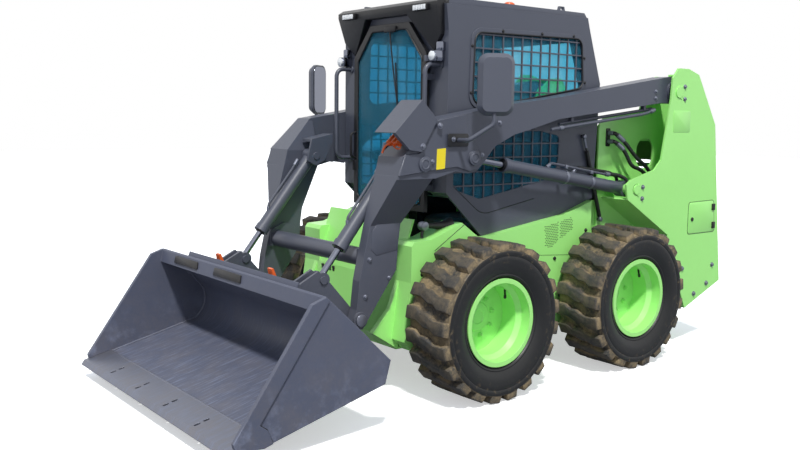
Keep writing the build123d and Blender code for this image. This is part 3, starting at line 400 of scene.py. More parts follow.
def soil_group():
    """Soil caught between the lugs: measured from the nearer axle in the side view."""
    group, given, result = new_group("Tread Soil", [
        ("Rubber", "Color", None), ("Lug", "Color", None), ("Soil", "Color", None), ("Amount", "Float", 0.8)],
        [("Colour", "Color"), ("Roughness", "Float"), ("Height", "Float")])
    n = Nodes(group)
    g = given.outputs
    place = n.add("TexCoord").outputs["Object"]
    parts = n.add("SeparateXYZ", Vector=place).outputs
    up = n.maths("SUBTRACT", parts["Z"], TYRE_R)
    reach = []
    for y in AXLE_Y.values():
        along = n.maths("SUBTRACT", parts["Y"], y)
        reach.append(n.maths("SQRT", n.maths("ADD", n.maths("MULTIPLY", along, along), n.maths("MULTIPLY", up, up))))
    radius = n.maths("MINIMUM", *reach)
    tread = n.ramp(radius, 0.3690, 0.3745)
    lug_top = n.ramp(radius, 0.396, 0.405)
    patch = n.ramp(n.noise(place, 11.0, 6.0, 0.68), 0.40, 0.60)
    fine = n.noise(place, 75.0, 5.0, 0.65)
    speck = n.ramp(fine, 0.42, 0.62)
    cover = n.maths("MULTIPLY", n.maths("ADD", n.maths("MULTIPLY", patch, 0.80), n.maths("MULTIPLY", speck, 0.25)),
                    n.ramp(lug_top, 0.0, 1.0, 1.0, 0.30))
    cover = n.maths("MULTIPLY", n.maths("MULTIPLY", cover, tread), g["Amount"], True)
    # a dusty line at the shoulder, and a few splashes on the side wall
    shoulder = n.maths("ABSOLUTE", n.maths("SUBTRACT", radius, SHOULDER_R))
    line = n.maths("MULTIPLY", n.ramp(shoulder, 0.0012, 0.0034, 0.55, 0.0),
                   n.ramp(n.noise(place, 18.0, 4.0), 0.35, 0.60))
    splash = n.maths("MULTIPLY", n.ramp(n.noise(place, 30.0, 6.0, 0.7), 0.56, 0.70, 0.0, 0.40),
                     n.ramp(radius, 0.29, 0.36))
    cover = n.maths("MAXIMUM", cover, n.maths("MAXIMUM", line, splash))
    base = n.blend(tread, g["Rubber"], g["Lug"])
    shade = n.ramp(fine, 0.3, 0.7, 0.85, 1.15)
    base = n.add("HueSaturation", Color=base, Value=shade).outputs[0]
    n.put(result.inputs["Colour"], n.blend(cover, base, g["Soil"]))
    rough = n.ramp(tread, 0.0, 1.0, 0.46, 0.70)
    n.put(result.inputs["Roughness"], n.maths("ADD", rough, n.maths("MULTIPLY", cover, 0.25)))
    n.put(result.inputs["Height"], n.maths("ADD", fine, n.maths("MULTIPLY", cover, 0.8)))
    return group


def soiled_rubber():
    """Black side walls and a worn tread with soil in it."""
    colours = bpy.context.scene.loader_colours
    material = bpy.data.materials.new("tyre_rubber")
    material.use_nodes = True
    n = Nodes(material.node_tree)
    shader = material.node_tree.nodes["Principled BSDF"]
    soil = n.add("Group", node_tree=soil_group())
    for label, value in (("Rubber", colours.rubber), ("Lug", colours.lug), ("Soil", colours.dust)):
        n.put(soil.inputs[label], value)
    n.put(shader.inputs["Base Color"], soil.outputs["Colour"])
    n.put(shader.inputs["Roughness"], soil.outputs["Roughness"])
    n.put(shader.inputs["Normal"], n.add("Bump", Height=soil.outputs["Height"], Strength=0.6,
                                         Distance=0.0006).outputs[0])
    return material


def tinted_glass():
    """Tinted cab glass with a few smears."""
    colours = bpy.context.scene.loader_colours
    material = bpy.data.materials.new("glass_teal")
    material.use_nodes = True
    n = Nodes(material.node_tree)
    shader = material.node_tree.nodes["Principled BSDF"]
    place = n.add("TexCoord").outputs["Object"]
    smear = n.noise(place, 6.0, 4.0, 0.6, (1, 1, 0.3))
    n.put(shader.inputs["Roughness"], n.ramp(smear, 0.3, 0.8, 0.03, 0.16))
    n.put(shader.inputs["Base Color"], n.blend(n.ramp(smear, 0.4, 0.8, 0.0, 0.25), colours.glass, (0.8, 0.9, 0.92)))
    shader.inputs["Transmission Weight"].default_value = 0.82
    shader.inputs["IOR"].default_value = 1.1
    return material


def lamp_lens():
    """Clear ribbed lens over a bright reflector."""
    material = bpy.data.materials.new("lamp_lens")
    material.use_nodes = True
    n = Nodes(material.node_tree)
    shader = material.node_tree.nodes["Principled BSDF"]
    place = n.add("TexCoord").outputs["Object"]
    flutes = n.add("TexWave", bands_direction="X", Vector=place, Scale=60.0).outputs["Fac"]
    n.put(shader.inputs["Base Color"], n.blend(flutes, (0.72, 0.76, 0.8), (0.95, 0.96, 0.97)))
    n.put(shader.inputs["Roughness"], n.ramp(flutes, 0.0, 1.0, 0.12, 0.22))
    n.put(shader.inputs["Normal"], n.add("Bump", Height=flutes, Distance=0.001, Strength=0.4).outputs[0])
    shader.inputs["Metallic"].default_value = 0.35
    return material


class LOADER_OT_finishes(bpy.types.Operator):
    """Makes the finishes and gives them to the frame's parts"""
    bl_idname = "loader.finishes"
    bl_label = "Finishes"

    def execute(self, context):
        weathering = weathering_group()
        for slot in FINISHES:
            MATERIALS[slot] = painted(slot, weathering)
        MATERIALS["tyre_rubber"] = soiled_rubber()
        MATERIALS["glass_teal"] = tinted_glass()
        MATERIALS["lamp_lens"] = lamp_lens()
        for node, part in frame["nodes"].items():
            for place in part.material_slots:
                place.material = MATERIALS[SLOT_OF[node]]
        return {"FINISHED"}


# ---------------------------------------------------------------- wheels
class LoaderWheels(bpy.types.PropertyGroup):
    """Counts and sizes of the tyres and their bolts."""
    lugs: IntProperty(name="Lugs", description="Lugs in each of the two rows", default=21, min=8)
    lug_bevel: FloatProperty(name="Lug rounding", description="Rounding of a lug's edges", default=0.006, min=0,
                             unit="LENGTH")
    bolts: IntProperty(name="Wheel bolts", description="Bolts on each rim", default=8, min=4)


def spun(name, profile, steps):
    """A ring about the X axis from a closed outline in (x, radius)."""
    rest()
    bpy.ops.mesh.primitive_circle_add(vertices=len(profile), radius=1, fill_type="NOTHING")
    piece = named(name)
    for vertex, (x, radius) in zip(piece.data.vertices, profile):
        vertex.co = (x, 0, radius)
    bpy.ops.object.mode_set(mode="EDIT")
    bpy.ops.mesh.select_all(action="SELECT")
    bpy.ops.mesh.spin(steps=steps, angle=2 * math.pi, center=(0, 0, 0), axis=(1, 0, 0))
    bpy.ops.object.mode_set(mode="OBJECT")
    outward(piece, 0.00002)
    return piece


def turned(piece, angle):
    """Turns a piece about the X axis through the origin."""
    piece.rotation_euler = (angle, 0, 0)
    settle(piece)
    return piece


def placed(piece, name, x, y, z, mirror=False):
    """A copy of a piece moved into place, handed over if asked."""
    only(piece)
    bpy.ops.object.duplicate()
    twin = named(name)
    if mirror:
        twin.scale.x = -1
    twin.location = (x, y, z)
    settle(twin)
    if mirror:
        outward(twin, 0)
    return twin


def drop(*pieces):
    """Deletes the pieces that others were copied from."""
    only(*pieces)
    bpy.ops.object.delete()


def aimed(piece, place, way):
    """Turns a ring's axis from X to another way and moves it into place."""
    piece.matrix_world = Matrix.Translation(place) @ Vector(way).to_track_quat("X", "Z").to_matrix().to_4x4()
    settle(piece)
    return piece


def ring_of(piece, count):
    """The piece repeated round the X axis."""
    only(piece)
    bpy.ops.object.mode_set(mode="EDIT")
    bpy.ops.mesh.select_all(action="SELECT")
    bpy.ops.mesh.spin(steps=count - 1, angle=2 * math.pi * (count - 1) / count, center=(0, 0, 0), axis=(1, 0, 0),
                      dupli=True)
    bpy.ops.object.mode_set(mode="OBJECT")
    return piece


class LOADER_OT_tyres(bpy.types.Operator):
    """Builds a tyre with its side wall rings and lugs, and puts it on each wheel"""
    bl_idname = "loader.tyres"
    bl_label = "Tyres"

    # half of the carcass from the bead out to the tread: (x from its middle, radius)
    HALF = ((0.112, 0.2100), (0.1135, 0.2290), (0.1205, 0.2350), (0.1270, 0.2385), (0.1292, 0.2440),
            (0.1272, 0.2490), (0.1310, 0.2560), (0.1410, 0.2740), (0.1465, 0.2960), (0.1488, 0.3190),
            (0.1492, 0.3370), (0.1474, 0.3400), (0.1490, 0.3430), (0.1508, 0.3490), (0.1514, 0.3590),
            (0.1500, 0.3672), (0.1466, 0.3705), (0.1420, 0.3712), (0.1350, 0.3735), (0.1180, 0.3760),
            (0.0700, 0.3790), (0.0, 0.3800))
    # a lug from above: (u round the tyre, v out from its middle)
    LUG = ((-0.045, 0.1440), (0.020, 0.1440), (0.019, 0.100), (0.018, 0.066), (0.030, 0.034), (0.044, 0.005),
           (0.045, -0.030), (0.040, -0.058), (0.012, -0.064), (0.002, -0.040), (-0.018, 0.030), (-0.038, 0.062),
           (-0.048, 0.078), (-0.046, 0.110))

    TREAD_R = 0.380         # the carcass between the lugs
    LUG_TOP_R = 0.4092      # the tops of the lugs
    LUG_FOOT_R = 0.362      # the feet of the lugs, sunk in the carcass
    STAGGER = 0.0185        # from one row of lugs to the other, along the tread

    def execute(self, context):
        settings = context.scene.loader_wheels
        half = self.HALF
        loop = list(half) + [(-x, radius) for x, radius in reversed(half[:-1])]
        carcass = spun("carcass", loop, 112)
        lugs = []
        for row in (1, -1):
            lug = self.lug(row, settings.lug_bevel)
            if row < 0:
                turned(lug, -self.STAGGER / self.TREAD_R)
            lugs.append(ring_of(lug, settings.lugs))
        tyre = join("tyre_pattern", [carcass, *lugs])
        for axle, y in AXLE_Y.items():
            for side, s in SIDES.items():
                name = "tyre_%s_%s" % (axle, side)
                wheel = placed(tyre, "tread_" + name, s * WHEEL_X, y, TYRE_R, s < 0)
                finish(wheel, MATERIALS["tyre_rubber"], "wheel_%s_%s" % (axle, side), 40)
                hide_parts(name)
        drop(tyre)
        return {"FINISHED"}

    def lug(self, row, width):
        """One lug, widening towards its foot, its top on the tyre's own curve."""
        piece = sheet("lug", [(row * v, row * u, 0) for u, v in self.LUG], (0, 0, 0.04))
        middle = row * 0.04
        for vertex in piece.data.vertices:
            v, u, level = vertex.co
            if level > 0.02:
                vertex.co = (v, u, math.sqrt(self.LUG_TOP_R ** 2 - u * u))
            else:
                vertex.co = (middle + (v - middle) * 1.05, u * 1.16, math.sqrt(self.LUG_FOOT_R ** 2 - u * u * 1.35))
        soften(piece, width, 2, 30)
        return piece


class LOADER_OT_wheel_trim(bpy.types.Operator):
    """Adds the wheel nuts and the valve to each rim"""
    bl_idname = "loader.wheel_trim"
    bl_label = "Wheel trim"

    def execute(self, context):
        settings = context.scene.loader_wheels
        # nut with its stud, standing on the disc 54 mm in from the tyre's middle
        rest()
        bpy.ops.mesh.primitive_cylinder_add(vertices=6, radius=0.0135, depth=0.012, rotation=(0, math.pi / 2, 0),
                                            location=(-0.048, 0, 0))
        nut = named("nut")
        settle(nut)
        soften(nut, 0.002, 2, 40)
        washer = bar("washer", (-0.0545, 0, 0), (-0.0525, 0, 0), 0.0175, 20)
        stud = bar("stud", (-0.043, 0, 0), (-0.034, 0, 0), 0.0070, 14)
        soften(stud, 0.0015, 2, 40)
        nut = join("nuts", [nut, washer, stud])
        nut.location.z = BOLT_CIRCLE
        settle(nut)
        turned(nut, math.radians(12))
        ring_of(nut, settings.bolts)
        # valve stem through the barrel
        valve = bar("valve", (0.030, 0, 0.180), (0.052, 0, 0.148), 0.0055, 14)
        cap = bar("valve_cap", (0.050, 0, 0.151), (0.060, 0, 0.136), 0.0075, 14)
        soften(cap, 0.0015, 2, 40)
        valve = join("valves", [valve, cap])
        turned(valve, math.radians(-38))
        for axle, y in AXLE_Y.items():
            for side, s in SIDES.items():
                body = "wheel_%s_%s" % (axle, side)
                nuts = placed(nut, "wheel_nuts_%s_%s" % (axle, side), s * WHEEL_X, y, TYRE_R, s < 0)
                finish(nuts, MATERIALS["green_paint"], body)
                stem = placed(valve, "valve_%s_%s" % (axle, side), s * WHEEL_X, y, TYRE_R, s < 0)
                finish(stem, MATERIALS["black_plastic"], body)
        drop(nut, valve)
        return {"FINISHED"}


# ---------------------------------------------------------------- bucket
EDGE = Vector((-1.844, 0.0735))      # (y, z) of the cutting edge's tip
FLOOR_SLOPE = math.radians(13.7)
HEEL = (-1.2455, 0.3667)             # (y, z) that the heel bends about
HEEL_SEAM_R = 0.131


def floor_point(along, off):
    """A point along the bucket's floor and off it, as (y, z)."""
    c, d = math.cos(FLOOR_SLOPE), math.sin(FLOOR_SLOPE)
    return (EDGE.x + along * c - off * d, EDGE.y + along * d + off * c)


def tube(name, points, radius, sides=12, smooth=0.0):
    """A round bar, bead or hose through the points; smooth is the bend radius at each corner."""
    path = [Vector(point) for point in points]
    if smooth:
        bent = [path[0]]
        for before, corner, after in zip(path, path[1:], path[2:]):
            back, ahead = before - corner, after - corner
            reach = min(smooth, back.length * 0.48, ahead.length * 0.48)
            start, end = corner + back.normalized() * reach, corner + ahead.normalized() * reach
            for step in range(7):
                t = step / 6
                bent.append(start * (1 - t) ** 2 + corner * 2 * t * (1 - t) + end * t * t)
        path = bent + [path[-1]]
    rest()
    bpy.ops.curve.primitive_nurbs_path_add()
    curve = bpy.context.object
    curve.data.splines.clear()
    spline = curve.data.splines.new("POLY")
    spline.points.add(len(path) - 1)
    for point, place in zip(spline.points, path):
        point.co = (*place, 1)
    curve.data.dimensions = "3D"
    curve.data.bevel_depth = radius
    curve.data.bevel_resolution = max(1, sides // 4 - 1)
    curve.data.use_fill_caps = True
    only(curve)
    bpy.ops.object.convert(target="MESH")
    piece = named(name)
    outward(piece, 0.000001)
    return piece


def both_sides(piece, name):
    """Names a piece for the left and gives the mirrored right one too."""
    right = mirrored(piece, name + "_right")
    piece.name = piece.data.name = name + "_left"
    return piece, right


class LOADER_OT_bucket_trim(bpy.types.Operator):
    """Adds the weld seams and the lip's grip plates to the bucket"""
    bl_idname = "loader.bucket_trim"
    bl_label = "Bucket trim"

    def execute(self, context):
        # seam along the floor, round the heel and up the back, where the side plate meets the sheet
        path = [floor_point(0.172, 0.012)]
        for step in range(0, 13):
            turn = math.radians(-76.3 + 123.2 * step / 12)
            path.append((HEEL[0] + HEEL_SEAM_R * math.cos(turn), HEEL[1] + HEEL_SEAM_R * math.sin(turn)))
        path.append((-1.361, 0.662))
        seam = tube("bucket_seam", [(0.8265, *point) for point in path], 0.0065)
        for piece in both_sides(seam, "bucket_seam"):
            finish(piece, MATERIALS["bucket_paint"], "attach", 60)
        # seam between the floor and the cutting edge
        edge = tube("edge_seam", [(-0.826, *floor_point(0.1695, 0.0175)), (0.826, *floor_point(0.1695, 0.0175))],
                    0.0045)
        finish(edge, MATERIALS["worn_steel"], "attach", 60)
        # seam behind the wear plate on each side
        wear = tube("wear_seam", [(0.8415, *floor_point(0.614, 0.4475)), (0.8415, *floor_point(0.176, 0.067)),
                                  (0.8415, *floor_point(0.2055, 0.030)), (0.8415, *floor_point(0.216, -0.034))],
                                  0.0035)
        for piece in both_sides(wear, "wear_seam"):
            finish(piece, MATERIALS["black_paint"], "attach", 60)
        # rubbed grip plates on the lip
        top, low = Vector((-1.370, 0.666)), Vector((-1.384, 0.599))
        face = (low - top).normalized()
        out = Vector((face.y, -face.x))
        for name, x0, x1 in (("left", -0.640, -0.368), ("right", -0.170, 0.108)):
            ring = rounded([(x0, 0.010), (x1, 0.010), (x1 + 0.006, 0.050), (x0 - 0.006, 0.050)], 0.006, 3)
            pad = sheet("lip_plate_" + name, [(x, *(top + face * t - out * 0.002)) for x, t in ring],
                        (0, out.x * 0.009, out.y * 0.009))
            soften(pad, 0.0015, 2)
            finish(pad, MATERIALS["black_paint"], "attach")
        return {"FINISHED"}


# ---------------------------------------------------------------- small parts that several pieces share
def give(piece, material, body, both=False, angle=32):
    """Finishes a piece, and with both its twin on the right side too."""
    if both:
        twin = mirrored(piece, piece.name + "_right")
        piece.name = piece.data.name = piece.name + "_left"
        finish(twin, MATERIALS[material], body.replace("_left", "_right"), angle)
    finish(piece, MATERIALS[material], body, angle)


def faced(piece, way):
    """Turns a piece modelled along +Z to look another way."""
    piece.rotation_euler = {"x": (0, math.pi / 2, 0), "-y": (math.pi / 2, 0, 0), "y": (-math.pi / 2, 0, 0),
                            "z": (0, 0, 0)}[way]
    settle(piece)
    return piece


def bolts(name, places, radius, body, way="x", material="worn_steel", both=True):
    """Hexagon bolts on washers, modelled once and copied to each place."""
    rest()
    bpy.ops.mesh.primitive_cylinder_add(vertices=6, radius=radius, depth=radius * 0.8, location=(0, 0, radius * 0.6))
    head = named("head")
    settle(head)
    soften(head, radius * 0.14, 2, 40)
    washer = bar("washer", (0, 0, -0.001), (0, 0, radius * 0.25), radius * 1.45, 18)
    soften(washer, radius * 0.06, 1, 40)
    model = faced(join("bolt", [head, washer]), way)
    copies = [placed(model, name, *place) for place in places]
    drop(model)
    give(join(name, copies), material, body, both)


def disc(name, y, z, x0, x1, radius, bevel=0.003, sides=40):
    """A bevelled round cap on a side face."""
    piece = bar(name, (x0, y, z), (x1, y, z), radius, sides)
    soften(piece, bevel, 2, 40)
    return piece


def oriented_box(name, centre, size, turn=(0, 0, 0), bevel=0.003):
    """A block shaped from a cube: scaled, bevelled and turned."""
    rest()
    bpy.ops.mesh.primitive_cube_add(size=1, location=centre, rotation=turn)
    piece = named(name)
    piece.scale = size
    settle(piece)
    soften(piece, bevel, 2, 40)
    return piece


# ---------------------------------------------------------------- arms
class LOADER_OT_arm_trim(bpy.types.Operator):
    """Adds the pin caps, bolts, plates and seams to the lift arms"""
    bl_idname = "loader.arm_trim"
    bl_label = "Arm trim"

    def execute(self, context):
        bolts("guard_bolts", [(0.6455, -0.582, 1.390), (0.6455, -0.688, 1.291)], 0.011, "arms")
        # caps over the pins, each held by a tab and a bolt
        for name, (y, z), (tab_y, tab_z), x in (("tilt", (-0.662, 1.205), (-0.618, 1.217), 0.6295),
                                               ("lift", (-0.344, 1.230), (-0.295, 1.244), 0.6355)):
            cap = disc("cap", y, z, x, x + 0.009, 0.038)
            ring = spun("ring", [(x + 0.008, 0.018), (x + 0.0115, 0.020), (x + 0.0115, 0.026), (x + 0.008, 0.028)],
                        32)
            ring.location = (0, y, z)
            settle(ring)
            out = Vector((tab_y - y, tab_z - z)).normalized()
            across = Vector((-out.y, out.x)) * 0.013
            far = Vector((tab_y, tab_z)) + out * 0.013
            near = Vector((y, z)) + out * 0.03
            tab = side_plate("tab", rounded([near + across, near - across, far - across, far + across], 0.010, 3),
                             x - 0.001, x + 0.006)
            soften(tab, 0.001, 1)
            give(join("%s_cap" % name, [cap, ring, tab]), "dark_paint", "arms", True)
            bolts("%s_cap_bolt" % name, [(x + 0.006, tab_y, tab_z)], 0.008, "arms")
        # bracket that clamps the mirror's stalk
        plate = side_plate("mirror_bracket", rounded([(-0.529, 1.288), (-0.393, 1.288), (-0.393, 1.352),
                                                      (-0.529, 1.352)], 0.012, 4), 0.6390, 0.6445)
        soften(plate, 0.0015, 2)
        give(plate, "black_paint", "arms", True)
        bolts("mirror_bolts", [(0.6445, -0.493, 1.324), (0.6445, -0.411, 1.318)], 0.009, "arms")
        # blank plate
        plate = side_plate("blank_plate", rounded([(-0.590, 1.176), (-0.534, 1.181), (-0.530, 1.281),
                                                   (-0.586, 1.277)],
                                                  0.004, 3), 0.6290, 0.6308)
        give(plate, "yellow_plate", "arms", True)
        # pressed panel on each leg and the bolts beside it
        panel = side_plate("leg_panel", rounded([(-0.746, 1.030), (-0.700, 0.905), (-0.712, 0.776), (-0.841, 0.758),
                                                 (-0.875, 0.789), (-0.868, 0.880)], 0.014, 3), 0.4860, 0.4905)
        soften(panel, 0.002, 2)
        give(panel, "dark_paint", "arms", True)
        bolts("leg_bolts", [(0.4885, -0.883, 0.741), (0.4885, -0.760, 0.640), (0.4885, -0.905, 0.560)], 0.009, "arms")
        # weld beads where the doubler and the leg meet the arm
        bead = tube("doubler_bead", [(0.6205, y - 0.030, z) for y, z in
                                     ((-0.783, 1.152), (-0.745, 1.250), (-0.668, 1.256), (-0.654, 1.262),
                                      (-0.562, 1.412), (-0.366, 1.446), (-0.356, 1.355), (-0.238, 1.211),
                                      (-0.277, 1.176), (-0.338, 1.164), (-0.423, 1.188), (-0.556, 1.178),
                                      (-0.783, 1.152))], 0.004, 8)
        give(bead, "dark_paint", "arms", True, 60)
        # bolts on the lapped rear section of the beam
        bolts("beam_bolts", [(0.6205, -0.158, 1.406), (0.6205, 1.135, 1.600), (0.6205, 1.135, 1.560)], 0.009, "arms")
        # cover on the attach pin's end
        give(disc("attach_cap", -0.938, 0.450, 0.4975, 0.5065, 0.030), "worn_steel", "arms", True)
        return {"FINISHED"}


class LOADER_OT_couplers(bpy.types.Operator):
    """Builds the auxiliary couplers with their sleeves, lever and caps under the guard"""
    bl_idname = "loader.couplers"
    bl_label = "Couplers"

    def execute(self, context):
        down = Vector((-0.7265, -0.6872))
        out = Vector((-0.6872, 0.7265))
        start = Vector((-0.605, 1.415))
        sleeves, steel = [], []
        # profile of a sleeve with its grooves, as (along, radius)
        rows = [(0.0, 0.001), (0.0, 0.0165), (0.006, 0.0175), (0.010, 0.0150), (0.016, 0.0150), (0.020, 0.0175),
                (0.034, 0.0175), (0.037, 0.0160), (0.040, 0.0160), (0.043, 0.0175), (0.056, 0.0175),
                (0.060, 0.0160), (0.062, 0.0125), (0.048, 0.0110), (0.048, 0.001)]
        for x in (0.515, 0.552, 0.589):
            root = start + down * 0.1563 + out * 0.046
            sleeves.append(aimed(spun("sleeve", rows, 28), (x, *root), (0, *down)))
            base = bar("base", (x, *(root - down * 0.004)), (x, *(root + down * 0.002)), 0.019, 6)
            soften(base, 0.0015, 1, 40)
            steel.append(base)
        # tethered cap and its lever
        tip = start + down * 0.223 + out * 0.046
        sleeves.append(tube("lever", [(0.530, tip.x + 0.004, tip.y + 0.010), (0.500, tip.x - 0.006, tip.y - 0.004),
                                      (0.490, tip.x - 0.016, tip.y - 0.040)], 0.0055, 12, 0.02))
        loop = spun("loop", [(-0.0025, 0.0175), (0.0025, 0.0175), (0.0030, 0.0205), (-0.0030, 0.0205)], 28)
        sleeves.append(aimed(loop, (0.589, tip.x - 0.002, tip.y - 0.002), (0.35, *down)))
        piece = join("coupler_sleeves", sleeves)
        give(piece, "orange_plastic", "arms")
        give(join("coupler_nuts", steel), "worn_steel", "arms")
        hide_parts("couplers")
        return {"FINISHED"}


class LOADER_OT_hydraulics(bpy.types.Operator):
    """Runs the steel pipes and hoses along the arms and the cylinders"""
    bl_idname = "loader.hydraulics"
    bl_label = "Pipes and hoses"

    def execute(self, context):
        # steel pipe under each beam, with a fitting at each end
        pipe = tube("beam_pipe", [(0.612, 0.235, 1.372), (0.612, 0.330, 1.383), (0.612, 1.050, 1.4665),
                                  (0.606, 1.150, 1.492)], 0.0095, 14, 0.05)
        give(pipe, "dark_paint", "arms", True)
        nut = join("pipe_nuts", [bar("nut", (0.6085, 1.108, 1.4800), (0.6065, 1.142, 1.4895), 0.0145, 6),
                                 bar("nut", (0.612, 0.300, 1.3795), (0.612, 0.330, 1.3830), 0.0145, 6)])
        soften(nut, 0.0015, 1, 40)
        give(nut, "worn_steel", "arms", True)
        # hydraulic line on top of each lift barrel, saddles round the barrel, then a hose to the base
        base, eye = Vector((0.930, 1.022)), Vector((-0.344, 1.230))
        way = (eye - base).normalized()
        up = Vector((way.y, -way.x))
        if up.y < 0:
            up.negate()

        def at(along, off):
            return base + way * along + up * off

        line = tube("lift_line", [(0.555, *at(0.660, 0.046)), (0.555, *at(0.640, 0.062)), (0.555, *at(0.20, 0.062)),
                                  (0.555, *at(0.120, 0.066))], 0.0075, 12, 0.02)
        give(line, "dark_paint", "lift_barrel_left", True)
        hose = tube("lift_hose", [(0.555, *at(0.150, 0.066)), (0.556, *at(0.060, 0.074)), (0.580, *at(0.010, 0.062)),
                                  (0.600, *at(-0.020, 0.020))], 0.0115, 14, 0.05)
        second = tube("hose", [(0.530, *at(0.420, 0.048)), (0.530, *at(0.380, 0.072)), (0.532, *at(0.100, 0.080)),
                               (0.530, *at(0.030, 0.066)), (0.515, *at(0.000, 0.030))], 0.0105, 14, 0.04)
        give(join("lift_hoses", [hose, second]), "black_plastic", "lift_barrel_left", True, 60)
        fittings = [bar("fit", (0.555, *at(0.168, 0.066)), (0.555, *at(0.134, 0.066)), 0.0145, 6),
                    bar("fit", (0.530, *at(0.422, 0.030)), (0.530, *at(0.408, 0.062)), 0.013, 6),
                    bar("fit", (0.555, *at(0.672, 0.036)), (0.555, *at(0.650, 0.052)), 0.012, 6)]
        clamps = []
        for along in (0.30, 0.52):
            ring = spun("clamp", [(-0.009, 0.0355), (0.009, 0.0355), (0.009, 0.0400), (-0.009, 0.0400)], 40)
            clamps.append(aimed(ring, (0.555, *at(along, 0)), (0, *way)))
            clamps.append(oriented_box("pad", (0.5475, *at(along, 0.058)), (0.044, 0.020, 0.022),
                                       (math.atan2(way.y, way.x), 0, 0), 0.003))
        piece = join("lift_fittings", fittings + clamps)
        soften(piece, 0.001, 1, 50)
        give(piece, "worn_steel", "lift_barrel_left", True)
        # hoses from the knee down to each tilt barrel
        base, eye = Vector((-0.662, 1.205)), Vector((-1.105, 0.653))
        way = (eye - base).normalized()
        off = Vector((-way.y, way.x))
        if off.y < 0:
            off.negate()

        def by(along, out):
            return base + way * along + off * out

        line = tube("tilt_line", [(0.385, *by(0.400, 0.036)), (0.385, *by(0.380, 0.052)), (0.385, *by(0.130, 0.052)),
                                  (0.385, *by(0.080, 0.056))], 0.007, 12, 0.02)
        give(line, "dark_paint", "tilt_barrel_left", True)
        ends = join("tilt_fittings", [bar("fit", (0.385, *by(0.110, 0.053)), (0.385, *by(0.072, 0.057)), 0.012, 6),
                                      bar("fit", (0.385, *by(0.408, 0.030)), (0.385, *by(0.392, 0.044)), 0.011, 6)])
        soften(ends, 0.001, 1, 40)
        give(ends, "worn_steel", "tilt_barrel_left", True)
        # wiper seal at each barrel's mouth
        for name, x, start, towards, length, radius in (
                ("lift", 0.555, Vector((0.930, 1.022)), Vector((-0.344, 1.230)), 1.010, 0.032),
                ("tilt", 0.385, base, eye, 0.528, 0.026)):
            run = (towards - start).normalized()
            ring = spun("seal", [(-0.001, radius - 0.012), (0.004, radius - 0.012), (0.006, radius),
                                 (-0.001, radius)],
                        36)
            aimed(ring, (x, *(start + run * length)), (0, *run))
            ring.name = ring.data.name = name + "_seal"
            give(ring, "black_plastic", name + "_barrel_left", True)
        return {"FINISHED"}


# ---------------------------------------------------------------- cab
class LOADER_OT_roof(bpy.types.Operator):
    """Splits the roof into its painted top and black brow, both with rounded edges"""
    bl_idname = "loader.roof"
    bl_label = "Roof and brow"

    def execute(self, context):
        halves = []
        for name, keep_front, material in (("brow", True, "black_paint"), ("roof_skin", False, "dark_paint")):
            only(frame["nodes"]["cab_roof"])
            bpy.ops.object.duplicate()
            piece = named(name)
            bpy.ops.object.mode_set(mode="EDIT")
            bpy.ops.mesh.select_all(action="SELECT")
            bpy.ops.mesh.remove_doubles(threshold=0.00002)
            bpy.ops.mesh.select_all(action="SELECT")
            bpy.ops.mesh.bisect(plane_co=(0, -0.372, 2.0), plane_no=(0, 1, 0), use_fill=True,
                                clear_outer=keep_front, clear_inner=not keep_front)
            bpy.ops.mesh.select_all(action="SELECT")
            bpy.ops.mesh.normals_make_consistent(inside=False)
            bpy.ops.object.mode_set(mode="OBJECT")
            soften(piece, 0.005, 3, 30)
            give(piece, material, "chassis")
            halves.append(piece)
        for piece in halves:
            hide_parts("cab_roof")
        # rings in the bores of the lifting eyes
        rings = []
        for x, y in EYES:
            ring = spun("ring", [(-0.003, 0.0065), (0.003, 0.0065), (0.0045, 0.009), (0.003, 0.0115),
                                 (-0.003, 0.0115),
                                 (-0.0045, 0.009)], 24)
            ring.location = (x, y, EYE_Z)
            settle(ring)
            rings.append(ring)
        give(join("eye_bushes", rings), "worn_steel", "chassis")
        return {"FINISHED"}


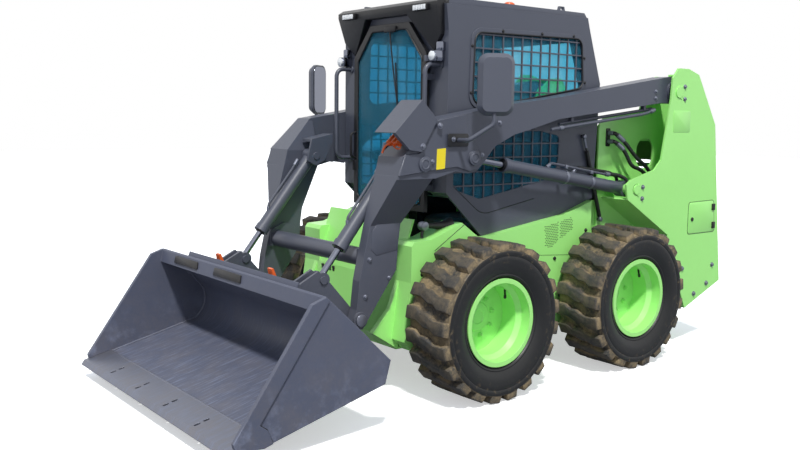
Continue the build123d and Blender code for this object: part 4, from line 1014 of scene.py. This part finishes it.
class LOADER_OT_lamps(bpy.types.Operator):
    """Builds the light bars, the corner lamps, the rear lamps and the beacon"""
    bl_idname = "loader.lamps"
    bl_label = "Lamps"

    def execute(self, context):
        cases, lenses, bright = [], [], []
        for s in SIDES.values():
            # light bar of five square lamps under the brow
            cases.append(oriented_box("case", (s * 0.320, -0.4505, 1.988), (0.112, 0.020, 0.034), (0, 0, 0), 0.003))
            for i in range(5):
                lenses.append(oriented_box("lens", (s * 0.320 + (i - 2) * 0.0208, -0.4605, 1.988),
                                           (0.0180, 0.006, 0.0260), (0, 0, 0), 0.002))
            # corner lamps: a cast case, two round lenses and the bracket
            bright.append(oriented_box("case", (s * 0.412, -0.412, 1.741), (0.056, 0.060, 0.054), (0, 0, 0), 0.006))
            bright.append(oriented_box("cover", (s * 0.418, -0.392, 1.790), (0.040, 0.036, 0.050), (0, 0, 0), 0.007))
            lens = spun("round", [(0, 0.001), (0, 0.0215), (0.004, 0.0235), (0.010, 0.0235), (0.013, 0.0190),
                                  (0.015, 0.001)], 32)
            lens.rotation_euler = (0, 0, -math.pi / 2)
            lens.location = (s * 0.412, -0.441, 1.741)
            settle(lens)
            lenses.append(lens)
            # rear lamps
            cases.append(oriented_box("case", (s * 0.560, 1.7410, 1.191), (0.066, 0.014, 0.088), (-0.13, 0, 0),
                                      0.004))
            for dz in (-0.020, 0.020):
                lenses.append(oriented_box("lens", (s * 0.560, 1.7480 - dz * 0.13, 1.191 + dz), (0.052, 0.012, 0.034),
                                           (-0.13, 0, 0), 0.004))
        base = spun("base", [(0, 0.001), (0, 0.042), (0.010, 0.042), (0.014, 0.038), (0.014, 0.001)], 40)
        dome = spun("beacon_dome", [(0.012, 0.001), (0.012, 0.0365), (0.034, 0.0355), (0.046, 0.0300),
                                    (0.053, 0.0180),
                                    (0.0555, 0.001)], 40)
        for piece in (base, dome):
            piece.rotation_euler = (0, -math.pi / 2, 0)
            piece.location = (0.200, 0.301, 2.0363)
            settle(piece)
        cases.append(base)
        give(dome, "orange_plastic", "chassis")
        case = join("lamp_cases", cases)
        give(case, "black_plastic", "chassis")
        give(join("lamp_castings", bright), "chrome_rod", "chassis")
        lens = join("lamp_lenses", lenses)
        give(lens, "lamp_lens", "chassis")
        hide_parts("work_lamps")
        return {"FINISHED"}


class LOADER_OT_cab_trim(bpy.types.Operator):
    """Adds the seals, the wiper, the latch, the mirrors' glass and clamps, and the painted shade along the side
    creases
    """
    bl_idname = "loader.cab_trim"
    bl_label = "Cab trim"

    DOOR = [(-0.322, 0.930), (-0.322, 1.760), (-0.172, 1.930), (0.172, 1.930), (0.322, 1.760), (0.322, 0.930)]
    UPPER = [(-0.210, 1.500), (-0.200, 1.872), (0.632, 1.886), (0.654, 1.610), (0.070, 1.515)]

    def execute(self, context):
        # rubber seal inside the door's frame
        ring = rounded([(x * 0.893, 1.430 + (z - 1.430) * 0.930) for x, z in self.DOOR], 0.035, 5)
        seal = tube("door_seal", [(x, -0.4090, z) for x, z in ring + ring[:1]], 0.005, 10)
        give(seal, "black_plastic", "door", angle=60)
        # wiper: motor box, arm and blade
        motor = oriented_box("motor", (0.02, -0.4140, 1.900), (0.096, 0.018, 0.032), (0, 0, 0), 0.006)
        arm = tube("arm", [(0.02, -0.4190, 1.892), (0.050, -0.4170, 1.700), (0.085, -0.4120, 1.500)], 0.0040, 10,
                   0.05)
        blade = tube("blade", [(0.060, -0.4070, 1.720), (0.098, -0.4070, 1.280)], 0.0050, 8)
        give(join("wiper", [motor, arm, blade]), "black_plastic", "door")
        # latch and pull on the door's free edge
        pull = tube("pull", [(-0.306, -0.4060, 1.190), (-0.306, -0.4420, 1.200), (-0.306, -0.4420, 1.330),
                             (-0.306, -0.4060, 1.340)], 0.007, 12, 0.016)
        case = oriented_box("case", (-0.305, -0.4150, 1.150), (0.030, 0.016, 0.060), (0, 0, 0), 0.004)
        give(join("door_latch", [pull, case]), "black_plastic", "door")
        # gasket and bolts round each upper window
        ring = rounded([(y, z) for y, z in self.UPPER], 0.050, 6)
        gasket = tube("gasket", [(0.4655, y, z) for y, z in ring + ring[:1]], 0.0055, 8)
        give(gasket, "black_plastic", "chassis", True, 60)
        bolts("window_bolts", [(0.4655, y, z) for y, z in
                               ((-0.222, 1.560), (-0.218, 1.800), (0.0, 1.889), (0.300, 1.894), (0.560, 1.898),
                                (0.656, 1.780), (0.668, 1.640), (0.360, 1.548))], 0.0065, "chassis",
                                material="black_paint")
        # black line along the pressed crease in the lower side panel: painted shade in the crease
        crease = tube("crease", [(0.4598, -0.324, 1.072), (0.4598, -0.254, 1.018), (0.4598, -0.120, 0.914),
                                 (0.4598, 0.277, 0.983)], 0.0025, 8, 0.06)
        give(crease, "black_paint", "chassis", True, 60)
        # mirror glass and stalk clamps
        along, back = Vector((0.52, 0.854)), Vector((-0.854, 0.52))
        centre = Vector((0.780, -0.350))
        corners = rounded([(-0.080, -0.140), (0.080, -0.140), (0.080, 0.140), (-0.080, 0.140)], 0.042, 5)
        glass = sheet("mirror_glass", [(centre.x + along.x * u + back.x * 0.0005,
                                        centre.y + along.y * u + back.y * 0.0005,
                                        1.590 + v) for u, v in corners], (back.x * 0.003, back.y * 0.003, 0))
        soften(glass, 0.001, 1, 40)
        give(glass, "chrome_rod", "arms", True)
        clamp = join("mirror_clamps", [
            oriented_box("clamp", (0.792, -0.365, 1.500), (0.040, 0.034, 0.050), (0, 0, 1.02), 0.005),
            oriented_box("clamp", (0.792, -0.365, 1.560), (0.034, 0.030, 0.020), (0, 0, 1.02), 0.004)])
        give(clamp, "black_plastic", "arms", True)
        # rubber feet where the rails meet the posts
        feet = []
        for s in SIDES.values():
            for z in (1.190, 1.700):
                foot = spun("foot", [(0, 0.012), (0, 0.022), (0.005, 0.022), (0.009, 0.0125)], 28)
                foot.rotation_euler = (0, 0, -math.pi / 2)
                foot.location = (s * 0.400, -0.3765, z)
                settle(foot)
                feet.append(foot)
        give(join("rail_feet", feet), "dark_paint", "chassis")
        return {"FINISHED"}


# ---------------------------------------------------------------- towers and hull
class LOADER_OT_tower_trim(bpy.types.Operator):
    """Adds the pin retainers, the access lid, the bolts, the hose plates and the pressed square to the towers"""
    bl_idname = "loader.tower_trim"
    bl_label = "Tower trim"

    def execute(self, context):
        # crescent retainers let into each pin's end
        for name, (y, z), ends in (("pivot", (1.306, 1.601), ((1.360, 1.634), (1.363, 1.560))),
                                   ("lift_base", (0.930, 1.022), ((0.987, 1.035), (0.985, 0.967)))):
            middle = Vector((y + 0.045, z - 0.004))
            arc = []
            for step in range(9):
                turn = math.radians(125 + 110 * step / 8)
                arc.append((middle.x + 0.048 * math.cos(turn), middle.y + 0.048 * math.sin(turn)))
            for step in range(9):
                turn = math.radians(235 - 110 * step / 8)
                arc.append((middle.x + 0.036 * math.cos(turn) + 0.004, middle.y + 0.036 * math.sin(turn)))
            keeper = side_plate(name + "_keeper", arc, 0.6640, 0.6700)
            soften(keeper, 0.001, 1, 50)
            give(keeper, "green_paint", "chassis", True)
            slot = spun("slot", [(0.6645, 0.032), (0.6655, 0.032), (0.6655, 0.0345), (0.6645, 0.0345)], 40)
            slot.location = (0, y, z)
            settle(slot)
            slot.name = slot.data.name = name + "_gap"
            give(slot, "black_plastic", "chassis", True)
            bolts(name + "_bolts", [(0.6650, *end) for end in ends], 0.010, "chassis")
        # pressed square, access lid with its latches and key, and the belly bolts
        square = side_plate("pressed_square", rounded([(1.258, 1.358), (1.431, 1.358), (1.431, 1.489),
                                                       (1.258, 1.489)],
                                                      0.012, 4), 0.6640, 0.6665)
        soften(square, 0.0012, 2)
        give(square, "green_paint", "chassis", True)
        lid = side_plate("access_lid", rounded([(1.462, 0.722), (1.752, 0.722), (1.728, 0.922), (1.462, 0.918)],
                                               0.018, 5),
                         0.6640, 0.6675)
        soften(lid, 0.0015, 2)
        give(lid, "green_paint", "chassis", True)
        lid_edge = rounded([(1.459, 0.719), (1.755, 0.719), (1.731, 0.925), (1.459, 0.921)], 0.020, 5)
        gap = tube("lid_gap", [(0.6652, y, z) for y, z in lid_edge + lid_edge[:1]], 0.0016, 8)
        give(gap, "black_plastic", "chassis", True)
        latches = [oriented_box("latch", (0.6700, 1.724, 0.880), (0.012, 0.030, 0.042), (0, 0, 0), 0.003),
                   oriented_box("latch", (0.6700, 1.732, 0.762), (0.012, 0.030, 0.042), (0, 0, 0), 0.003),
                   disc("key", 1.500, 0.812, 0.6660, 0.6720, 0.013, 0.002, 24),
                   oriented_box("slot", (0.6722, 1.500, 0.812), (0.002, 0.003, 0.016), (0, 0, 0), 0.0005)]
        give(join("lid_latches", latches), "black_plastic", "chassis", True)
        bolts("tower_bolts", [(0.6650, 1.421, 0.505), (0.6650, 1.748, 0.501), (0.6650, 1.693, 0.385),
                              (0.6650, 1.560, 0.330)], 0.011, "chassis")
        # bulkhead plate on the inner wall, its elbows and the two hoses that drop behind the lift cylinder
        plate = side_plate("bulkhead_plate", rounded([(0.880, 1.270), (0.916, 1.270), (0.916, 1.378), (0.880, 1.378)],
                                                     0.008, 3), 0.4615, 0.4680)
        soften(plate, 0.001, 1)
        give(plate, "black_paint", "chassis", True)
        hoses, ends = [], []
        for dz, reach in ((0.0, 0.0), (-0.050, -0.045)):
            z = 1.350 + dz
            ends.append(bar("elbow", (0.4670, 0.898, z), (0.5000, 0.905, z), 0.014, 6))
            ends.append(bar("ferrule", (0.512, 0.925, z - 0.010), (0.528, 0.968, z - 0.046), 0.0145, 18))
            hoses.append(tube("hose", [(0.480, 0.900, z), (0.510, 0.908, z), (0.530, 0.975, z - 0.052),
                                       (0.545, 1.075 + reach, z - 0.150), (0.560, 1.150 + reach, 1.150 + dz * 0.4),
                                       (0.575, 1.230 + reach, 1.060)], 0.0115, 14, 0.05))
        give(join("tower_hoses", hoses), "black_plastic", "chassis", True, 60)
        piece = join("tower_hose_ends", ends)
        soften(piece, 0.001, 1, 40)
        give(piece, "worn_steel", "chassis", True)
        # welds between the towers' plates and rear skin
        bead = tube("tower_bead", [(0.6585, 1.698, 1.407), (0.6585, 1.835, 0.395)], 0.004, 8)
        give(bead, "green_paint", "chassis", True, 60)
        # bright end fittings on the struts
        ends = []
        top, foot = Vector((0.667, 1.330)), Vector((0.839, 0.834))
        way = (foot - top).normalized()
        length = (foot - top).length
        for start, stop in ((0.012, 0.070), (length - 0.060, length - 0.012)):
            ends.append(bar("end", (0.476, *(top + way * start)), (0.476, *(top + way * stop)), 0.0085, 16))
        for place in (top, foot):
            ends.append(disc("ball", place.x, place.y, 0.468, 0.4880, 0.0135, 0.004, 20))
        give(join("strut_ends", ends), "worn_steel", "chassis", True)
        return {"FINISHED"}


class LOADER_OT_hull_trim(bpy.types.Operator):
    """Adds the side vents as painted shade in their slots, the horn, the fender seams, the bolts and the foot treads
    to the hull
    """
    bl_idname = "loader.hull_trim"
    bl_label = "Hull trim"

    def execute(self, context):
        # rows of small black plates inside the vent's outline: painted shade standing in for the shade inside the
        # louvre slots
        edge = [(0.335, 0.826), (0.563, 0.867), (0.567, 0.800), (0.395, 0.703), (0.340, 0.707)]

        def inside(y, z):
            hit = False
            for (y0, z0), (y1, z1) in zip(edge, edge[1:] + edge[:1]):
                if (z0 > z) != (z1 > z) and y < (y1 - y0) * (z - z0) / (z1 - z0) + y0:
                    hit = not hit
            return hit

        model = side_plate("hole", rounded([(-0.0060, -0.0016), (0.0045, -0.0016), (0.0060, 0.0016),
                                            (-0.0045, 0.0016)],
                                           0.0012, 2), 0.4995, 0.5008)
        painted_shade_holes = []
        for row in range(17):
            for column in range(16):
                y = 0.336 + column * 0.0152 + (row % 2) * 0.0076
                z = 0.706 + row * 0.0098
                if inside(y, z) and not 0.447 < y < 0.460:
                    painted_shade_holes.append(placed(model, "hole", 0, y, z))
        drop(model)
        # the black slot plates are painted shade, not holes cut in the hull
        give(join("side_vent", painted_shade_holes), "black_plastic", "chassis", True)
        bolts("hull_bolts", [(0.5002, 0.684, 0.781), (0.5002, 0.422, 0.635), (0.5002, -0.560, 0.640),
                             (0.5002, -0.330, 0.652)], 0.008, "chassis", material="black_paint")
        seam = tube("fender_seam", [(0.5002, -0.480, 0.753), (0.5002, -0.270, 0.881)], 0.0016, 6)
        give(seam, "black_plastic", "chassis", True)
        line = tube("hull_seam", [(0.5002, 0.240, 0.668), (0.5002, 0.640, 0.640)], 0.0012, 6)
        give(line, "black_plastic", "chassis", True)
        # horn on the left fender
        bell = spun("horn_bell", [(0.000, 0.001), (0.000, 0.012), (0.060, 0.016), (0.120, 0.026), (0.158, 0.045),
                                  (0.162, 0.046), (0.160, 0.042), (0.122, 0.022), (0.060, 0.012), (0.004, 0.001)], 32)
        bell.location = (0.420, -0.480, 0.874)
        bell.rotation_euler = (0, math.radians(4), math.pi / 2)
        settle(bell)
        bracket = tube("horn_bracket", [(0.420, -0.480, 0.870), (0.420, -0.500, 0.838), (0.420, -0.500, 0.795)],
                       0.008, 8, 0.01)
        horn = join("horn", [bell, bracket])
        give(horn, "black_plastic", "chassis")
        driver = disc("horn_driver", -0.492, 0.874, 0.398, 0.442, 0.024, 0.008, 28)
        give(driver, "worn_steel", "chassis")
        # step grips on the nose
        treads = []
        for s in SIDES.values():
            for i in range(4):
                treads.append(oriented_box("tread", (s * 0.300 - s * i * 0.036, -0.628, 0.560), (0.016, 0.012, 0.070),
                                           (0.32, 0, 0), 0.003))
        give(join("step_grips", treads), "black_plastic", "chassis")
        # plugs on the drive cases
        bolts("case_plugs", [(0.5002, 0.080, 0.420), (0.5002, 0.480, 0.420)], 0.012, "chassis")
        return {"FINISHED"}


class LOADER_OT_rear_trim(bpy.types.Operator):
    """Adds the handles, the lock, the louvre rims and the bolts to the hood and the tailgate"""
    bl_idname = "loader.rear_trim"
    bl_label = "Rear covers"

    def execute(self, context):
        def face(z):
            return 1.841 - (z - 0.390) * 0.1350 - 0.004

        # rims round the cooling slots
        rims = []
        for i in range(11):
            z = 0.900 + (i - 5) * 0.050
            corners = rounded([(-0.286, z - 0.0145), (0.286, z - 0.0145), (0.286, z + 0.0145), (-0.286, z + 0.0145)],
                              0.0144, 6)
            rims.append(tube("rim", [(x, face(zz) + 0.0005, zz) for x, zz in corners + corners[:1]], 0.0026, 6))
        give(join("louvre_rims", rims), "green_paint", "tailgate", angle=60)
        pull = tube("gate_pull", [(-0.395, face(0.900), 0.830), (-0.395, face(0.900) + 0.022, 0.840),
                                  (-0.395, face(0.960) + 0.022, 0.960), (-0.395, face(0.960), 0.970)], 0.008, 12,
                                  0.02)
        case = oriented_box("case", (-0.395, face(1.030) + 0.002, 1.030), (0.040, 0.014, 0.070), (0.134, 0, 0), 0.004)
        give(join("gate_latch", [pull, case]), "black_plastic", "tailgate")
        bolts("gate_bolts", [(x, face(z), z) for x in (-0.400, 0.400) for z in (0.450, 1.290)], 0.008, "tailgate",
              "y", "worn_steel", False)
        # ribs and a handle on the hood
        ribs = []
        for x in (-0.25, 0.25):
            ribs.append(tube("rib", [(x, 0.900, 1.3905), (x, 1.470, 1.3835), (x, 1.640, 1.3655)], 0.006, 8, 0.05))
        give(join("hood_ribs", ribs), "green_paint", "hood", angle=60)
        pull = tube("hood_pull", [(-0.060, 1.640, 1.362), (-0.060, 1.655, 1.384), (0.060, 1.655, 1.384),
                                  (0.060, 1.640, 1.362)], 0.007, 12, 0.012)
        give(pull, "black_plastic", "hood")
        return {"FINISHED"}


# ---------------------------------------------------------------- seat and levers
class LoaderSeat(bpy.types.PropertyGroup):
    """How the seat's cushions puff up."""
    pressure: FloatProperty(name="Pressure", description="Air pressure inside the cushions", default=4.0, min=0)
    cell: FloatProperty(name="Cell", description="Size of the cushions' remeshed cells", default=0.008, min=0.003,
                        unit="LENGTH")


class LOADER_OT_seat(bpy.types.Operator):
    """Puffs up the seat's cushions over its base"""
    bl_idname = "loader.seat"
    bl_label = "Seat"

    def execute(self, context):
        settings = context.scene.loader_seat
        base = self.cushion("base_cushion", (0, 0.215, 0.800), (0.452, 0.385, 0.088), (0, 0, 0))
        back = self.cushion("back_cushion", (0, 0.455, 1.075), (0.440, 0.086, 0.470), (-0.165, 0, 0))
        cushions = join("seat_cushions", [base, back])
        self.puff(context, cushions, settings)
        give(cushions, "seat_vinyl", "chassis", angle=60)
        # frame below and behind, belt and its buckle
        shell = side_plate("seat_shell", [(0.020, 0.745), (0.020, 0.762), (0.452, 0.762), (0.560, 1.310),
                                          (0.575, 1.306),
                                          (0.470, 0.745)], -0.225, 0.225)
        soften(shell, 0.006, 3)
        box = oriented_box("pedestal", (0, 0.260, 0.617), (0.380, 0.330, 0.268), (0, 0, 0), 0.012)
        give(join("seat_frame", [shell, box]), "black_plastic", "chassis")
        belt = sheet("belt", [(0.226, 0.400, 0.770), (0.226, 0.380, 0.880), (0.226, 0.352, 0.880),
                              (0.226, 0.370, 0.770)],
                     (0.003, 0, 0))
        give(belt, "black_plastic", "chassis", True)
        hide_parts("seat")
        return {"FINISHED"}

    def cushion(self, name, centre, size, turn):
        """A block with rounded edges, subdivided once, ready to be puffed."""
        piece = oriented_box(name, centre, size, turn, 0.028)
        modify(piece, "SUBSURF", levels=1, render_levels=1, subdivision_type="SIMPLE")
        return piece

    def puff(self, context, piece, settings):
        """Remeshes the cushions and lets cloth swell them a little."""
        modify(piece, "REMESH", mode="VOXEL", voxel_size=settings.cell)
        before = [vertex.co.copy() for vertex in piece.data.vertices]
        only(piece)
        cloth = piece.modifiers.new("cloth", "CLOTH")
        cloth.settings.use_pressure = True
        cloth.settings.uniform_pressure_force = settings.pressure
        cloth.settings.effector_weights.gravity = 0
        cloth.settings.quality = 4
        cloth.point_cache.frame_start = 1
        cloth.point_cache.frame_end = 20
        for number in range(1, 21):
            context.scene.frame_set(number)
        bpy.ops.object.modifier_apply(modifier=cloth.name)
        context.scene.frame_set(1)
        for vertex, start in zip(piece.data.vertices, before):
            moved = vertex.co - start
            if moved.length > 0.008:
                vertex.co = start + moved.normalized() * 0.008
        modify(piece, "SUBSURF", levels=1, render_levels=1)


class LOADER_OT_levers(bpy.types.Operator):
    """Adds bellows, knobs and arm pads to the two joysticks"""
    bl_idname = "loader.levers"
    bl_label = "Levers"

    def execute(self, context):
        boots, pads = [], []
        for s in SIDES.values():
            rows = [(0.004, 0.001), (0.004, 0.036)]
            for i in range(5):
                height = 0.008 + i * 0.013
                rows += [(height, 0.036 - i * 0.0045), (height + 0.006, 0.030 - i * 0.0042)]
            rows += [(0.078, 0.0135), (0.078, 0.001)]
            boot = spun("boot", rows, 28)
            boot.rotation_euler = (0, -math.pi / 2, 0)
            boot.location = (s * 0.315, -0.030, 0.972)
            settle(boot)
            boots.append(boot)
            for i in range(3):
                button = oriented_box("button", (s * 0.315 + (i - 1) * 0.012, -0.056, 1.150 - (i % 2) * 0.012),
                                      (0.008, 0.006, 0.008), (0, 0, 0), 0.002)
                boots.append(button)
            pads.append(oriented_box("arm_pad", (s * 0.315, 0.230, 0.984), (0.076, 0.300, 0.030), (0, 0, 0), 0.012))
        give(join("lever_boots", boots), "black_plastic", "chassis")
        give(join("arm_pads", pads), "seat_vinyl", "chassis")
        return {"FINISHED"}


# ---------------------------------------------------------------- stage
class LOADER_OT_stage(bpy.types.Operator):
    """Sets the floor, the lights and the camera"""
    bl_idname = "loader.stage"
    bl_label = "Stage"

    def execute(self, context):
        settings = context.scene.loader_stage
        rest()
        bpy.ops.mesh.primitive_plane_add(size=60)
        floor = named("floor")
        floor.data.materials.append(self.backdrop(settings))
        bpy.ops.object.light_add(type="SUN", location=(3, -2, 6))
        sun = bpy.context.object
        sun.name = "sun"
        sun.data.energy = settings.sun
        sun.data.angle = math.radians(settings.sun_angle)
        sun.data.color = (1.0, 0.985, 0.95)
        sun.rotation_euler = Vector((0.55, -0.374, 1.0)).to_track_quat("Z", "Y").to_euler()
        bpy.ops.object.light_add(type="AREA", location=(5.5, -4.5, 2.2))
        lamp = bpy.context.object
        lamp.name = "front_fill"
        lamp.data.size = 5.0
        lamp.data.energy = settings.fill
        lamp.rotation_euler = (Vector((5.5, -4.5, 2.2)) - Vector((0, 0, 0.7))).to_track_quat("Z", "Y").to_euler()
        world = bpy.data.worlds.new("sky")
        context.scene.world = world
        world.use_nodes = True
        n = Nodes(world.node_tree)
        shader = world.node_tree.nodes["Background"]
        ray = n.add("LightPath").outputs
        white = n.maths("MAXIMUM", ray["Is Camera Ray"], n.maths("MAXIMUM", ray["Is Glossy Ray"],
                                                                 ray["Is Transmission Ray"]))
        up = n.add("SeparateXYZ", Vector=n.add("TexCoord").outputs["Generated"]).outputs["Z"]
        tinted = n.blend(n.ramp(up, -0.2, 0.8), (0.80, 0.84, 0.90), (0.70, 0.82, 1.0))
        n.put(shader.inputs["Color"], n.blend(white, tinted, (1, 1, 1)))
        n.put(shader.inputs["Strength"], n.ramp(white, 0.0, 1.0, settings.sky, 1.0))
        self.camera(context)
        context.scene.view_settings.view_transform = "Standard"
        return {"FINISHED"}

    def backdrop(self, settings):
        """A floor that is white to the camera and still takes the shadow."""
        material = bpy.data.materials.new("backdrop")
        material.use_nodes = True
        n = Nodes(material.node_tree)
        shader = material.node_tree.nodes["Principled BSDF"]
        seen = n.add("LightPath").outputs["Is Camera Ray"]
        n.put(shader.inputs["Base Color"], n.blend(seen, settings.bounce, settings.floor))
        n.put(shader.inputs["Emission Color"], (1, 1, 1))
        n.put(shader.inputs["Emission Strength"], n.ramp(seen, 0.0, 1.0, 0.0, settings.glow))
        shader.inputs["Roughness"].default_value = 0.95
        shader.inputs["Specular IOR Level"].default_value = 0.0
        return material

    def camera(self, context):
        """A long lens from the front left corner at chest height."""
        azimuth, elevation, roll = math.radians(51.90), math.radians(6.865), math.radians(0.737)
        back = Vector((math.sin(azimuth) * math.cos(elevation), -math.cos(azimuth) * math.cos(elevation),
                       math.sin(elevation)))
        right = Vector((0, 0, 1)).cross(back).normalized()
        up = back.cross(right)
        across = right * math.cos(roll) + up * math.sin(roll)
        upright = up * math.cos(roll) - right * math.sin(roll)
        bpy.ops.object.camera_add(location=(3.958, -3.4184, 1.4296))
        camera = bpy.context.object
        camera.name = "camera"
        camera.rotation_euler = Matrix((across, upright, back)).transposed().to_euler()
        camera.data.sensor_width = 36
        camera.data.lens = 40.383
        context.scene.camera = camera


# ---------------------------------------------------------------- panel and running order
class LOADER_PT_panel(bpy.types.Panel):
    """Lists the steps in the sidebar"""
    bl_idname = "LOADER_PT_panel"
    bl_label = "Skid steer loader"
    bl_space_type = "VIEW_3D"
    bl_region_type = "UI"
    bl_category = "Loader"

    def draw(self, context):
        for name in GROUPS:
            settings = getattr(context.scene, name)
            box = self.layout.box()
            for key in settings.__annotations__:
                box.prop(settings, key)
        for step in STEPS:
            self.layout.operator(step.bl_idname)


STEPS = (LOADER_OT_finishes, LOADER_OT_tyres, LOADER_OT_wheel_trim, LOADER_OT_bucket_trim, LOADER_OT_arm_trim,
         LOADER_OT_couplers, LOADER_OT_hydraulics, LOADER_OT_roof, LOADER_OT_lamps, LOADER_OT_cab_trim,
         LOADER_OT_tower_trim, LOADER_OT_hull_trim, LOADER_OT_rear_trim, LOADER_OT_seat, LOADER_OT_levers,
         LOADER_OT_stage)
GROUPS = {"loader_colours": LoaderColours, "loader_wheels": LoaderWheels, "loader_seat": LoaderSeat,
          "loader_stage": LoaderStage}


def register():
    """Adds the classes and the scene's settings."""
    for kind in (*GROUPS.values(), *STEPS, LOADER_PT_panel):
        bpy.utils.register_class(kind)
    for name, kind in GROUPS.items():
        setattr(bpy.types.Scene, name, PointerProperty(type=kind))


def unregister():
    """Takes them away again."""
    for name in GROUPS:
        delattr(bpy.types.Scene, name)
    for kind in (LOADER_PT_panel, *reversed(STEPS), *GROUPS.values()):
        bpy.utils.unregister_class(kind)


def main():
    """Runs every step."""
    register()
    for step in STEPS:
        group, call = step.bl_idname.split(".")
        getattr(getattr(bpy.ops, group), call)()
    rest()


if __name__ == "__main__":
    main()
